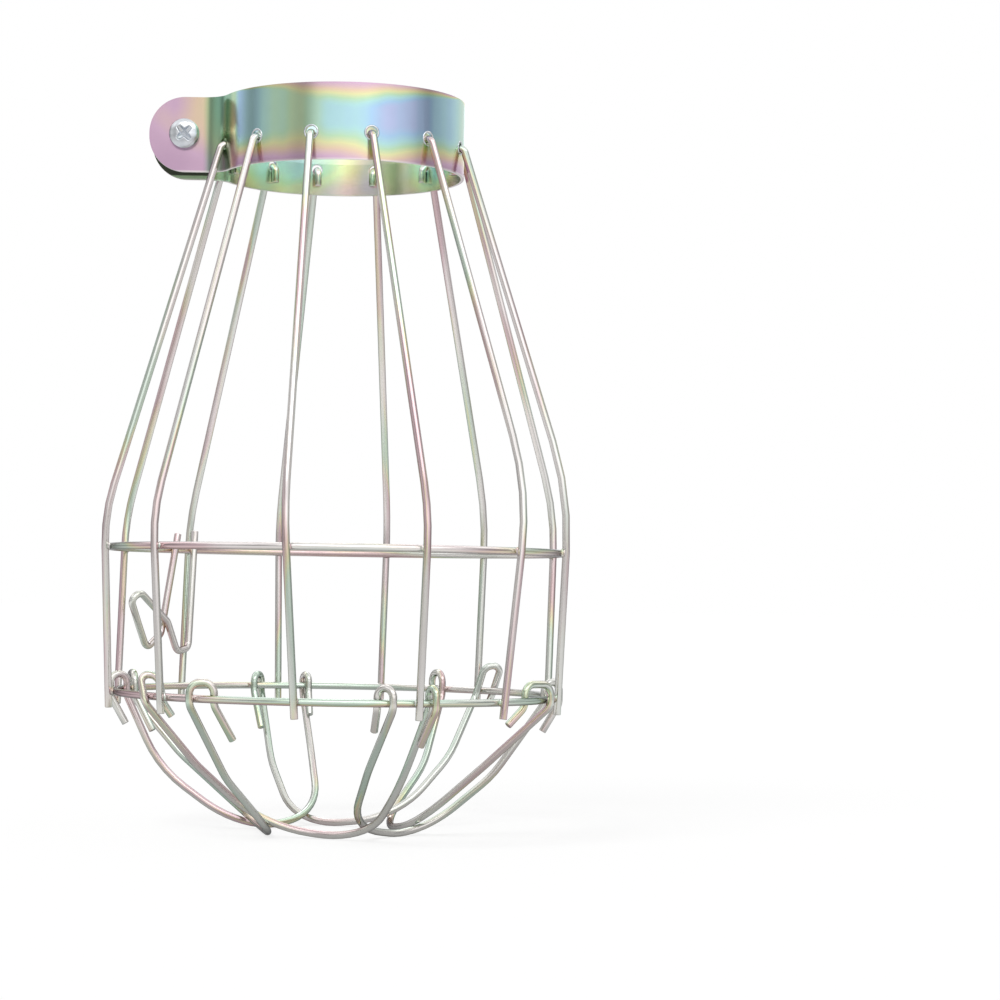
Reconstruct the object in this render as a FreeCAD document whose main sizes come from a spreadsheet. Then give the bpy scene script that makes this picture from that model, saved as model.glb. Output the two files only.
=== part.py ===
import FreeCAD, Part
import math
import os

import Sketcher
from FreeCAD import Placement, Rotation, Vector

# Bulb cage guard. The guard stands on its bottom bows at height zero, with its axis on Z.
# Bearings are measured from the front (-Y) and grow towards the right (+X). Lengths are millimetres.

SIZES = [
    ("overall_height", 140.0, "height from the lowest bow to the top edge of the band"),
    ("wire_dia", 1.4, "diameter of every wire"),
    ("contact_gap", 0.02, "gap left between wires that lie against each other"),
    ("band_bore", 45.2, "inside diameter of the closed band"),
    ("band_thickness", 0.8, "thickness of the band's sheet"),
    ("band_height", 14.2, "height of the band and of its ears"),
    ("grip_height", 8.0, "straight upper stretch of the bore, which grips the lampholder"),
    ("mouth_relief", 0.2, "how far the bore opens out below that stretch"),
    ("ear_gap", 9.0, "gap between the two ears"),
    ("ear_bend_radius", 5.0, "outside radius of the bend from the band into an ear"),
    ("ear_reach", 30.0, "distance of the screw from the axis"),
    ("ear_tip", 36.7, "distance of the ears' ends from the axis"),
    ("ear_corner_radius", 6.8, "radius of the ears' two rounded corners"),
    ("ear_hole_dia", 3.4, "screw hole in each ear"),
    ("screw_dia", 3.0, "diameter of the clamp screw"),
    ("screw_length", 14.0, "length of the screw under its head"),
    ("screw_turn_degrees", 42.0, "how far round the screw stands in the ears"),
    ("screw_head_dia", 5.8, "diameter of the screw's pan head"),
    ("screw_head_height", 2.3, "height of the pan head"),
    ("screw_head_rim", 1.1, "height of the head's straight side"),
    ("recess_span", 3.4, "span of the cross recess"),
    ("recess_width", 0.9, "width of each wing of the cross recess"),
    ("recess_depth", 1.3, "depth of the cross recess"),
    ("nut_width", 5.5, "width of the nut across its flats"),
    ("nut_height", 2.4, "height of the nut"),
    ("nut_play", 0.1, "diametral play between the nut and the screw"),
    ("rib_count", 12, "number of ribs and of rib holes"),
    ("rib_first_bearing", -75.5, "bearing of the first rib hole, in front of the ears"),
    ("rib_pitch_degrees", 29.6, "even bearing from one rib to the next, along the band to behind the ears"),
    ("hook_height", 4.9, "height of the rib hooks above the band's lower edge"),
    ("hook_hole_play", 0.8, "how much wider a rib hole is than its wire"),
    ("hook_hole_rise", 0.15, "height of a rib hole's centre above the wire in it"),
    ("hook_inner_bend", 0.4, "inside radius of the rib hook's bends"),
    ("hook_stub", 3.2, "length of the rib's end bent down inside the band"),
    ("mid_ring_radius", 43.1, "radius of the middle ring at the wire's centre"),
    ("mid_ring_height", 54.4, "height of the middle ring"),
    ("lower_ring_radius", 41.8, "radius of the lower ring at the wire's centre"),
    ("lower_ring_height", 26.9, "height of the lower ring"),
    ("rib_shoulder_rise", 6.0, "height of a rib's shoulder bend above the middle ring"),
    ("rib_tail", 3.0, "length of the rib below the lower ring"),
    ("bow_count", 6, "number of bottom bows"),
    ("bow_first_bearing", -14.5, "bearing of the first bow's middle"),
    ("bow_half_span_degrees", 36.0, "bearing of a bow's hooks on each side of its middle"),
    ("bow_knee_reach", 26.6, "distance of a bow's knees from the axis, along its middle bearing"),
    ("bow_knee_spread", 19.6, "distance of a knee from the bow's middle plane"),
    ("bow_knee_height", 13.0, "height of the knees"),
    ("bow_nose_reach", 13.5, "distance of a bow's lowest stretch from the axis"),
    ("bow_nose_spread", 10.2, "distance of the nose's corners from the bow's middle plane"),
    ("bow_nose_radius", 17.5, "bend radius of the nose's corners"),
    ("bow_nose_height", 1.2, "height of the wire's centre at the middle of a bow's lowest stretch"),
    ("bow_lift", 2.4, "how far a bow's left half lies above its right half, to cross over its neighbour"),
    ("bow_hook_rise", 3.0, "height of a bow hook's top above the lower ring"),
    ("bow_hook_drop", 1.1, "depth below the ring where the bow leaves it"),
    ("bow_hook_shift", 2.2, "sideways shift from a bow's leg to the tail of its hook"),
    ("bow_tail", 6.5, "depth of the hook's tail below the lower ring"),
    ("bow_tail_lean_degrees", 30.0, "inward lean of the tail below the lower ring"),
    ("bow_knee_radius", 22.0, "bend radius of the knees"),
    ("clip_bearing", -130.3, "bearing of the clip's first leg on the middle ring"),
    ("clip_spread_degrees", 6.5, "bearing between the clip's two legs"),
    ("clip_leg_above", 3.2, "length of the clip's legs above the middle ring"),
    ("clip_depth", 19.8, "depth of the clip's bottom bends below the middle ring"),
    ("clip_finger_rise", 9.7, "height of the clip's finger above its bottom bends"),
    ("clip_finger_degrees", 26.0, "bearing from the first leg to the tip of the finger"),
    ("clip_bend_radius", 1.8, "bend radius of the clip's turns"),
]

# Each rib is set by hand, so it stands off an even spacing by a few degrees: at its hole, at the
# middle ring and at the lower ring. The last value is a share of the shoulder's rise.
RIB_SETS = {
    "rib_01": (4.0, -1.5, -4.5, 1.0),
    "rib_02": (3.0, -1.5, -0.5, 1.0),
    "rib_03": (2.0, 5.0, 7.0, 1.0),
    "rib_04": (0.0, 8.0, 7.5, 1.0),
    "rib_05": (0.0, 6.3, 3.0, 1.8),
    "rib_06": (0.0, 4.5, 6.5, 1.8),
    "rib_07": (0.0, 4.0, 1.5, 1.3),
    "rib_08": (1.8, 5.5, 5.5, 1.3),
    "rib_09": (2.4, 5.0, 5.5, 1.0),
    "rib_10": (1.6, 4.5, 4.5, 1.0),
    "rib_11": (-3.5, 2.0, 5.0, 1.0),
    "rib_12": (0.0, -0.5, 7.0, 1.0),
}
EVEN_RIB = (0.0, 0.0, 0.0, 1.0)

# The bows are hooked on by hand too. For the left and the right hook of each: the bearing off an even
# spacing, 1 where the leg is outside the ring or -1 inside, and shares of the hook's rise, of the shift
# from the leg to the tail, of the tail's depth, of the shift again for the tail's and the whole hook's
# sideways lean, and of the knee's distance from the middle.
BOW_HOOKS = {
    "bottom_bow_1": ((-2.0, 1, 1.3, 0.8, 0.55, 0.4, -0.8, 1.0), (3.5, -1, 0.9, 0.0, 1.2, -0.5, 0.0, 1.0)),
    "bottom_bow_2": ((4.7, 1, 0.9, -1.0, 0.8, 0.0, 0.0, 1.0), (3.0, -1, 1.0, 1.0, 1.0, 0.0, 0.0, 0.9)),
    "bottom_bow_3": ((0.0, 1, 1.0, -2.7, 0.7, -1.4, 0.0, 0.95), (5.0, -1, 1.1, 1.8, 1.0, 0.0, 0.0, 0.9)),
    "bottom_bow_4": ((5.0, -1, 1.7, -0.8, 0.4, 0.0, -1.2, 0.95), (-1.3, 1, 0.75, 1.2, 1.3, 0.0, 0.0, 0.95)),
    "bottom_bow_5": ((-1.0, 1, 0.75, -0.4, 0.9, 0.0, 0.0, 1.0), (1.0, -1, 1.0, 1.0, 1.0, 0.0, 0.0, 1.0)),
    "bottom_bow_6": ((-1.0, 1, 1.0, 2.0, 1.25, 0.3, 0.0, 1.0), (1.9, 1, 1.0, 1.55, 1.15, 0.9, 0.0, 0.9)),
}
EVEN_HOOKS = ((0.0, 1, 1.0, -1.0, 1.0, 0.0, 0.0, 1.0), (0.0, -1, 1.0, 1.0, 1.0, 0.0, 0.0, 1.0))

# The turning points of the clip between its legs: how many wires inside the ring, and the place as
# a share of the finger's reach and of its rise.
CLIP_TURNS = [
    (1, 0.32, 0.3),
    (1, 0.62, 0.0),
    (1, 0.8, 0.5),
    (1, 1.0, 1.0),
    (2, 0.9, 1.15),
    (2, 0.3, 0.55),
    (2, 0.14, -0.07),
]

# Shares that shape the small roundings of the screw.
HEAD_CHEEK_RISE = 0.65
HEAD_CHEEK_SET = 0.35
POINT_FLAT = 0.4
POINT_CHAMFER = 0.1

# The longest part of a straight run that a bend may take up.
BEND_ROOM = 0.49

# How far a wire's volume may differ from its section times its length.
VOLUME_SLACK = 0.005

doc = FreeCAD.newDocument("bulb_cage_guard")
sheet = doc.addObject("Spreadsheet::Sheet", "Sizes")


def fill_sheet():
    """One row for each driving size: its name, its value and what it is."""
    for row, (alias, value, meaning) in enumerate(SIZES, start=1):
        sheet.set(f"A{row}", alias)
        sheet.set(f"B{row}", str(value))
        sheet.set(f"C{row}", meaning)
        sheet.setAlias(f"B{row}", alias)
    doc.recompute()


def size(alias):
    """The value of a driving size."""
    return float(sheet.get(alias))


def at(radius, bearing, height):
    """The point at a radius, a bearing in degrees from the front, and a height."""
    turn = math.radians(bearing)
    return Vector(radius * math.sin(turn), -radius * math.cos(turn), height)


# Sketches

def origin_feature(body, role):
    return next(feature for feature in body.Origin.OriginFeatures if feature.Role == role)


def sketch_on(body, name, role):
    sketch = body.newObject("Sketcher::SketchObject", name)
    sketch.AttachmentSupport = [(origin_feature(body, role), "")]
    sketch.MapMode = "FlatFace"
    return sketch


def bind(sketch, kind, place, expression):
    """Add a dimension to a sketch and tie it to the sheet."""
    value = float(sketch.evalExpression(expression))
    index = sketch.addConstraint(Sketcher.Constraint(kind, *place, value))
    sketch.setExpression(f"Constraints[{index}]", expression)


def bound_outline(sketch, corners):
    """A closed outline of straight edges. Each corner is a pair of expressions, for x and for y."""
    points = []
    for x_expression, y_expression in corners:
        x = float(sketch.evalExpression(x_expression))
        y = float(sketch.evalExpression(y_expression))
        points.append(Vector(x, y, 0))
    last = len(points) - 1
    for index, point in enumerate(points):
        following = points[0] if index == last else points[index + 1]
        sketch.addGeometry(Part.LineSegment(point, following))
    for index in range(len(points)):
        following = 0 if index == last else index + 1
        sketch.addConstraint(Sketcher.Constraint("Coincident", index, 2, following, 1))
    for index, (x_expression, y_expression) in enumerate(corners):
        bind(sketch, "DistanceX", (index, 1), x_expression)
        bind(sketch, "DistanceY", (index, 1), y_expression)


def bound_circle(sketch, x_expression, y_expression, radius_expression):
    """A circle whose centre and radius are tied to the sheet."""
    x = float(sketch.evalExpression(x_expression))
    y = float(sketch.evalExpression(y_expression))
    radius = float(sketch.evalExpression(radius_expression))
    circle = sketch.addGeometry(Part.Circle(Vector(x, y, 0), Vector(0, 0, 1), radius))
    bind(sketch, "Radius", (circle,), radius_expression)
    bind(sketch, "DistanceX", (circle, 3), x_expression)
    bind(sketch, "DistanceY", (circle, 3), y_expression)


def pocket_through(body, sketch, name):
    """Cut a sketch through the whole body, to both sides of its plane."""
    pocket = body.newObject("PartDesign::Pocket", name)
    pocket.Profile = sketch
    pocket.Type = "ThroughAll"
    pocket.SideType = "Symmetric"
    return pocket


# The clamp band

def band_plan(body):
    """The sheet seen from above: a split ring whose two ends bend outwards into the ears, towards -X."""
    plan = sketch_on(body, "BandPlan", "XY_Plane")
    inner = size("band_bore") / 2
    outer = inner + size("band_thickness")
    ear_inner = size("ear_gap") / 2
    ear_outer = ear_inner + size("band_thickness")
    bend = size("ear_bend_radius")
    bend_y = ear_outer + bend
    bend_x = math.sqrt((outer + bend) ** 2 - bend_y ** 2)
    lean = math.atan2(bend_y, bend_x)
    tip = size("ear_tip") + size("ear_corner_radius")
    up = Vector(0, 0, 1)

    def arc(centre, radius, start, end):
        return plan.addGeometry(Part.ArcOfCircle(Part.Circle(centre, up, radius), start, end))

    walls = []
    surfaces = (
        (inner, bend + size("band_thickness"), ear_inner),
        (outer, bend, ear_outer),
    )
    for ring_radius, bend_radius, ear_y in surfaces:
        ring = arc(Vector(0, 0, 0), ring_radius, lean - math.pi, math.pi - lean)
        rear_bend = arc(Vector(-bend_x, bend_y, 0), bend_radius, -math.pi / 2, -lean)
        front_bend = arc(Vector(-bend_x, -bend_y, 0), bend_radius, lean, math.pi / 2)
        rear_ear = plan.addGeometry(Part.LineSegment(Vector(-bend_x, ear_y, 0), Vector(-tip, ear_y, 0)))
        front_ear = plan.addGeometry(Part.LineSegment(Vector(-bend_x, -ear_y, 0), Vector(-tip, -ear_y, 0)))
        plan.addConstraint(Sketcher.Constraint("Coincident", ring, 3, -1, 1))
        plan.addConstraint(Sketcher.Constraint("Tangent", ring, 2, rear_bend, 2))
        plan.addConstraint(Sketcher.Constraint("Tangent", ring, 1, front_bend, 1))
        plan.addConstraint(Sketcher.Constraint("Tangent", rear_bend, 1, rear_ear, 1))
        plan.addConstraint(Sketcher.Constraint("Tangent", front_bend, 2, front_ear, 1))
        plan.addConstraint(Sketcher.Constraint("Horizontal", rear_ear))
        plan.addConstraint(Sketcher.Constraint("Horizontal", front_ear))
        walls.append((ring, rear_bend, front_bend, rear_ear, front_ear))

    inside, outside = walls
    for ear_index in (3, 4):
        inner_line = inside[ear_index]
        outer_line = outside[ear_index]
        ends = [plan.getPoint(line, 2) for line in (inner_line, outer_line)]
        edge = plan.addGeometry(Part.LineSegment(*ends))
        plan.addConstraint(Sketcher.Constraint("Coincident", inner_line, 2, edge, 1))
        plan.addConstraint(Sketcher.Constraint("Coincident", outer_line, 2, edge, 2))
        plan.addConstraint(Sketcher.Constraint("Vertical", edge))
        bind(plan, "DistanceX", (edge, 1), "-(Sizes.ear_tip + Sizes.ear_corner_radius)")

    bind(plan, "Radius", (inside[0],), "Sizes.band_bore / 2")
    bind(plan, "Radius", (outside[0],), "Sizes.band_bore / 2 + Sizes.band_thickness")
    for bend_index in (1, 2):
        bind(plan, "Radius", (inside[bend_index],), "Sizes.ear_bend_radius + Sizes.band_thickness")
        bind(plan, "Radius", (outside[bend_index],), "Sizes.ear_bend_radius")
    bind(plan, "DistanceY", (inside[3], 1), "Sizes.ear_gap / 2")
    bind(plan, "DistanceY", (inside[4], 1), "-Sizes.ear_gap / 2")
    bind(plan, "DistanceY", (outside[3], 1), "Sizes.ear_gap / 2 + Sizes.band_thickness")
    bind(plan, "DistanceY", (outside[4], 1), "-(Sizes.ear_gap / 2 + Sizes.band_thickness)")
    return plan


def ear_corners(body):
    """What is cut off the long ends of the ears, to leave each with a straight end and two round corners."""
    sketch = sketch_on(body, "EarCorners", "XZ_Plane")
    flat = "-(Sizes.ear_tip - Sizes.ear_corner_radius)"
    beyond = "-(Sizes.ear_tip + Sizes.band_height)"
    above = "1.5 * Sizes.band_height"
    below = "-0.5 * Sizes.band_height"
    corners = [
        (flat, "Sizes.band_height"),
        (flat, above),
        (beyond, above),
        (beyond, below),
        (flat, below),
        (flat, "0 * Sizes.band_height"),
    ]
    points = []
    for x_expression, y_expression in corners:
        x = float(sketch.evalExpression(x_expression))
        y = float(sketch.evalExpression(y_expression))
        points.append(Vector(x, y, 0))
    for start, end in zip(points, points[1:]):
        sketch.addGeometry(Part.LineSegment(start, end))
    last = len(points) - 2
    for index in range(last):
        sketch.addConstraint(Sketcher.Constraint("Coincident", index, 2, index + 1, 1))
    for index, (x_expression, y_expression) in enumerate(corners[:-1]):
        bind(sketch, "DistanceX", (index, 1), x_expression)
        if index > 0:
            bind(sketch, "DistanceY", (index, 1), y_expression)
    sketch.addConstraint(Sketcher.Constraint("Vertical", last))

    radius = size("ear_corner_radius")
    up = Vector(0, 0, 1)
    low_centre = Vector(points[0].x, radius, 0)
    high_centre = Vector(points[0].x, size("band_height") - radius, 0)
    low = sketch.addGeometry(Part.ArcOfCircle(Part.Circle(low_centre, up, radius), math.pi, 3 * math.pi / 2))
    high = sketch.addGeometry(Part.ArcOfCircle(Part.Circle(high_centre, up, radius), math.pi / 2, math.pi))
    ends = [Vector(-size("ear_tip"), centre.y, 0) for centre in (low_centre, high_centre)]
    end = sketch.addGeometry(Part.LineSegment(*ends))
    sketch.addConstraint(Sketcher.Constraint("Coincident", low, 2, last, 2))
    sketch.addConstraint(Sketcher.Constraint("Coincident", high, 1, 0, 1))
    sketch.addConstraint(Sketcher.Constraint("Tangent", low, 1, end, 1))
    sketch.addConstraint(Sketcher.Constraint("Tangent", high, 2, end, 2))
    low_height = "Sizes.ear_corner_radius"
    high_height = "Sizes.band_height - Sizes.ear_corner_radius"
    for arc, height in ((low, low_height), (high, high_height)):
        bind(sketch, "DistanceX", (arc, 3), flat)
        bind(sketch, "DistanceY", (arc, 3), height)
        bind(sketch, "Radius", (arc,), "Sizes.ear_corner_radius")
    return sketch


def rib_bearing(number):
    """The bearing of a rib if all ribs were evenly spaced."""
    return size("rib_first_bearing") + (number - 1) * size("rib_pitch_degrees")


def rib_sets(number):
    """A rib's own settings: three bearings off the even spacing, and a share of the shoulder's rise."""
    return RIB_SETS.get(f"rib_{number:02d}", EVEN_RIB)


def cut_rib_hole(body, number):
    """A round hole through the band's wall, at the bearing of a rib's hook."""
    outline = sketch_on(body, f"RibHole{number:02d}", "YZ_Plane")
    turn = Rotation(Vector(0, 1, 0), rib_bearing(number) + rib_sets(number)[0] - 90)
    outline.AttachmentOffset = Placement(Vector(0, 0, 0), turn)
    radius = "(Sizes.wire_dia + Sizes.hook_hole_play) / 2"
    bound_circle(outline, "0 * Sizes.wire_dia", "Sizes.hook_height + Sizes.hook_hole_rise", radius)
    hole = body.newObject("PartDesign::Pocket", f"RibHoleCut{number:02d}")
    hole.Profile = outline
    hole.Reversed = True
    hole.setExpression("Length", "Sizes.band_bore")
    doc.recompute()


def make_collar_band():
    """Split sheet-steel band with two clamp ears, a row of rib holes and a relieved lower mouth."""
    body = doc.addObject("PartDesign::Body", "CollarBand")
    body.Label = "collar_band"
    pad = body.newObject("PartDesign::Pad", "BandSheet")
    pad.Profile = band_plan(body)
    pad.setExpression("Length", "Sizes.band_height")
    doc.recompute()

    pocket_through(body, ear_corners(body), "RoundEars")
    screw_holes = sketch_on(body, "ScrewHoles", "XZ_Plane")
    bound_circle(screw_holes, "-Sizes.ear_reach", "Sizes.band_height / 2", "Sizes.ear_hole_dia / 2")
    pocket_through(body, screw_holes, "ScrewHolePair")
    doc.recompute()

    mouth = sketch_on(body, "MouthProfile", "XZ_Plane")
    straight = "Sizes.band_height - Sizes.grip_height"
    slope = "Sizes.mouth_relief / (Sizes.band_height - Sizes.grip_height)"
    corners = [
        ("Sizes.band_bore / 2", straight),
        (f"Sizes.band_bore / 2 + {slope} * Sizes.band_height", f"{straight} - Sizes.band_height"),
        ("Sizes.band_bore / 4", f"{straight} - Sizes.band_height"),
        ("Sizes.band_bore / 4", straight),
    ]
    bound_outline(mouth, corners)
    relief = body.newObject("PartDesign::Groove", "MouthRelief")
    relief.Profile = mouth
    relief.ReferenceAxis = (origin_feature(body, "Z_Axis"), [""])
    relief.Angle = 360
    doc.recompute()

    for number in range(1, int(size("rib_count")) + 1):
        cut_rib_hole(body, number)
    body.setExpression("Placement.Base.z", "Sizes.overall_height - Sizes.band_height")
    return body


# The clamp screw and its nut

def put_on_screw_line(body, depth, turn):
    """Set a body on the screw's line through the ears, at a depth, with its own +Z towards the front."""
    facing = Rotation(Vector(1, 0, 0), 90).multiply(Rotation(Vector(0, 0, 1), turn))
    body.Placement = Placement(Vector(0, 0, 0), facing)
    body.setExpression("Placement.Base.x", "-Sizes.ear_reach")
    body.setExpression("Placement.Base.y", depth)
    body.setExpression("Placement.Base.z", "Sizes.overall_height - Sizes.band_height / 2")


def make_clamp_screw():
    """Pan-head machine screw with a cross recess. Its head lies on the front ear."""
    body = doc.addObject("PartDesign::Body", "ClampScrew")
    body.Label = "clamp_screw"
    profile = sketch_on(body, "ScrewProfile", "XZ_Plane")
    dome = "(Sizes.screw_head_height - Sizes.screw_head_rim)"
    crown = f"Sizes.screw_head_dia / 2 - {dome}"
    shoulder = f"Sizes.screw_head_rim + {HEAD_CHEEK_RISE} * {dome}"
    cheek = f"Sizes.screw_head_dia / 2 - {HEAD_CHEEK_SET} * {dome}"
    corners = [
        ("0 * Sizes.screw_dia", "Sizes.screw_head_height"),
        ("0 * Sizes.screw_dia", "-Sizes.screw_length"),
        (f"{POINT_FLAT} * Sizes.screw_dia", "-Sizes.screw_length"),
        ("Sizes.screw_dia / 2", f"-Sizes.screw_length + {POINT_CHAMFER} * Sizes.screw_dia"),
        ("Sizes.screw_dia / 2", "0 * Sizes.screw_dia"),
        ("Sizes.screw_head_dia / 2", "0 * Sizes.screw_dia"),
        ("Sizes.screw_head_dia / 2", "Sizes.screw_head_rim"),
        (cheek, shoulder),
        (crown, "Sizes.screw_head_height"),
    ]
    bound_outline(profile, corners)
    turned = body.newObject("PartDesign::Revolution", "TurnedScrew")
    turned.Profile = profile
    turned.ReferenceAxis = (origin_feature(body, "Z_Axis"), [""])
    turned.Angle = 360
    doc.recompute()

    cross = sketch_on(body, "CrossRecess", "XY_Plane")
    cross.setExpression("AttachmentOffset.Base.z", "Sizes.screw_head_height")
    span = "Sizes.recess_span / 2"
    half = "Sizes.recess_width / 2"
    wings = [
        (span, f"-{half}"), (span, half), (half, half), (half, span),
        (f"-{half}", span), (f"-{half}", half), (f"-{span}", half), (f"-{span}", f"-{half}"),
        (f"-{half}", f"-{half}"), (f"-{half}", f"-{span}"), (half, f"-{span}"), (half, f"-{half}"),
    ]
    bound_outline(cross, wings)
    recess = body.newObject("PartDesign::Pocket", "Recess")
    recess.Profile = cross
    recess.setExpression("Length", "Sizes.recess_depth")
    put_on_screw_line(body, "-(Sizes.ear_gap / 2 + Sizes.band_thickness)", size("screw_turn_degrees"))
    return body


def make_clamp_nut():
    """Hexagon nut behind the rear ear."""
    body = doc.addObject("PartDesign::Body", "ClampNut")
    body.Label = "clamp_nut"
    plan = sketch_on(body, "NutPlan", "XY_Plane")
    corner = "Sizes.nut_width / 2 / cos(30 deg)"
    corners = [(f"{corner} * cos({60 * k} deg)", f"{corner} * sin({60 * k} deg)") for k in range(6)]
    bound_outline(plan, corners)
    bound_circle(
        plan, "0 * Sizes.screw_dia", "0 * Sizes.screw_dia", "(Sizes.screw_dia + Sizes.nut_play) / 2"
    )
    pad = body.newObject("PartDesign::Pad", "NutBlank")
    pad.Profile = plan
    pad.setExpression("Length", "Sizes.nut_height")
    put_on_screw_line(body, "Sizes.ear_gap / 2 + Sizes.band_thickness + Sizes.nut_height", 0)
    return body


# Bent wires

def bent_edges(points, radii):
    """Straight runs through the points, with a tangent arc at each inner one, as large as its runs allow."""
    edges = []
    start = points[0]
    for before, corner, after, radius in zip(points, points[1:], points[2:], radii):
        arriving = (corner - before).normalize()
        leaving = (after - corner).normalize()
        half_turn = arriving.getAngle(leaving) / 2
        room = BEND_ROOM * min((corner - before).Length, (after - corner).Length)
        setback = min(radius * math.tan(half_turn), room)
        bend = setback / math.tan(half_turn)
        arc_start = corner - arriving * setback
        arc_end = corner + leaving * setback
        inward = (leaving - arriving).normalize()
        arc_middle = corner + inward * (bend / math.cos(half_turn) - bend)
        edges.append(Part.LineSegment(start, arc_start).toShape())
        edges.append(Part.Arc(arc_start, arc_middle, arc_end).toShape())
        start = arc_end
    edges.append(Part.LineSegment(start, points[-1]).toShape())
    return edges


def make_bent_wire(label, points, radii):
    """A round wire swept along a bent path."""
    path = doc.addObject("Part::Feature", f"{label}_path")
    path.Shape = Part.Wire(bent_edges(points, radii))
    section = doc.addObject("Part::Circle", f"{label}_section")
    section.setExpression("Radius", "Sizes.wire_dia / 2")
    along = points[1] - points[0]
    section.Placement = Placement(points[0], Rotation(Vector(0, 0, 1), along))
    wire = doc.addObject("Part::Sweep", label)
    wire.Label = label
    wire.Sections = [section]
    wire.Spine = (path, [])
    wire.Solid = True
    wire.Frenet = False
    doc.recompute()
    expected = path.Shape.Length * math.pi * size("wire_dia") ** 2 / 4
    if abs(wire.Shape.Volume - expected) > VOLUME_SLACK * expected:
        raise ValueError(f"{label}: volume {wire.Shape.Volume:.3f}, expected {expected:.3f}")
    return wire


def touching():
    """Distance between the centres of two wires that lie against each other."""
    return size("wire_dia") + size("contact_gap")


def make_ring(label, radius_alias, height_alias):
    """A closed wire hoop that lies inside the ribs."""
    ring = doc.addObject("Part::Torus", label)
    ring.Label = label
    ring.setExpression("Radius1", f"Sizes.{radius_alias}")
    ring.setExpression("Radius2", "Sizes.wire_dia / 2")
    ring.setExpression("Placement.Base.z", f"Sizes.{height_alias}")
    return ring


def make_rib(number):
    """A rib hooks through the band from outside, runs down and out, and bends in past the two rings."""
    label = f"rib_{number:02d}"
    even = rib_bearing(number)
    hole_set, mid_set, lower_set, rise_share = rib_sets(number)
    hole_bearing = even + hole_set
    rise = rise_share * size("rib_shoulder_rise")
    hook_height = size("overall_height") - size("band_height") + size("hook_height")
    inside = size("band_bore") / 2 - touching() + size("wire_dia") / 2
    outside = size("band_bore") / 2 + size("band_thickness") + size("wire_dia") / 2
    mid_radius = size("mid_ring_radius") + touching()
    lower_radius = size("lower_ring_radius") + touching()
    at_mid_ring = at(mid_radius, even + mid_set, size("mid_ring_height"))
    at_lower_ring = at(lower_radius, even + lower_set, size("lower_ring_height"))
    upward = (at_mid_ring - at_lower_ring).normalize()
    shoulder = at_mid_ring + upward * rise
    points = [
        at(inside, hole_bearing, hook_height - size("hook_stub")),
        at(inside, hole_bearing, hook_height),
        at(outside, hole_bearing, hook_height),
        shoulder,
        at_lower_ring - upward * size("rib_tail"),
    ]
    hook_bend = size("hook_inner_bend") + size("wire_dia") / 2
    over = (shoulder - points[2]).normalize()
    shoulder_turn = over.getAngle(-upward)
    shoulder_bend = rise / math.tan(shoulder_turn / 2)
    return make_bent_wire(label, points, [hook_bend, hook_bend, shoulder_bend])


def make_bottom_bow(number):
    """A U of wire that hooks over the lower ring at both ends. Its left half crosses over the next bow."""
    label = f"bottom_bow_{number}"
    even = size("bow_first_bearing") + (number - 1) * 360.0 / size("bow_count")
    left_hook, right_hook = BOW_HOOKS.get(label, EVEN_HOOKS)
    hooks = {-1: left_hook, 1: right_hook}
    legs = {side: even + side * size("bow_half_span_degrees") + hook[0] for side, hook in hooks.items()}
    middle = (legs[-1] + legs[1]) / 2
    ring_radius = size("lower_ring_radius")
    ring_height = size("lower_ring_height")
    leaves_ring = ring_height - size("bow_hook_drop")
    lean = math.tan(math.radians(size("bow_tail_lean_degrees")))
    shift_degrees = math.degrees(size("bow_hook_shift") / ring_radius)

    def own(reach, spread, height):
        """A point of this bow, by its reach along the middle bearing and its spread to the side."""
        return at(reach, middle, height) + at(spread, middle + 90, 0)

    def half(side):
        """The points from the tail of one hook down to the nose. The left side is -1, the right side 1."""
        _, layer, rise_share, shift_share, tail_share, drift_share, lean_share, knee_share = hooks[side]
        leg = legs[side]
        tail = leg + shift_share * shift_degrees
        tail_tip = tail + drift_share * shift_degrees
        top_turn = lean_share * shift_degrees
        tail_end = ring_height - tail_share * size("bow_tail")
        hook_top = ring_height + rise_share * size("bow_hook_rise")
        leg_radius = ring_radius + layer * touching()
        tail_radius = ring_radius - layer * touching()
        own_lift = -side * size("bow_lift") / 2
        knee_reach = size("bow_knee_reach") * knee_share - own_lift
        knee_spread = size("bow_knee_spread") * knee_share
        return [
            at(tail_radius - lean * (leaves_ring - tail_end), tail_tip, tail_end),
            at(tail_radius, tail, leaves_ring),
            at(tail_radius, tail + top_turn, hook_top),
            at(leg_radius, leg + top_turn, hook_top),
            at(leg_radius, leg, leaves_ring),
            own(knee_reach, side * knee_spread, size("bow_knee_height") + own_lift),
            own(size("bow_nose_reach"), side * size("bow_nose_spread"), size("bow_nose_height") + own_lift),
        ]

    points = half(-1) + half(1)[::-1]
    hook_bend = 2 * size("wire_dia")
    half_radii = [hook_bend] * 4 + [size("bow_knee_radius"), size("bow_nose_radius")]
    return make_bent_wire(label, points, half_radii + half_radii[::-1])


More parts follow.
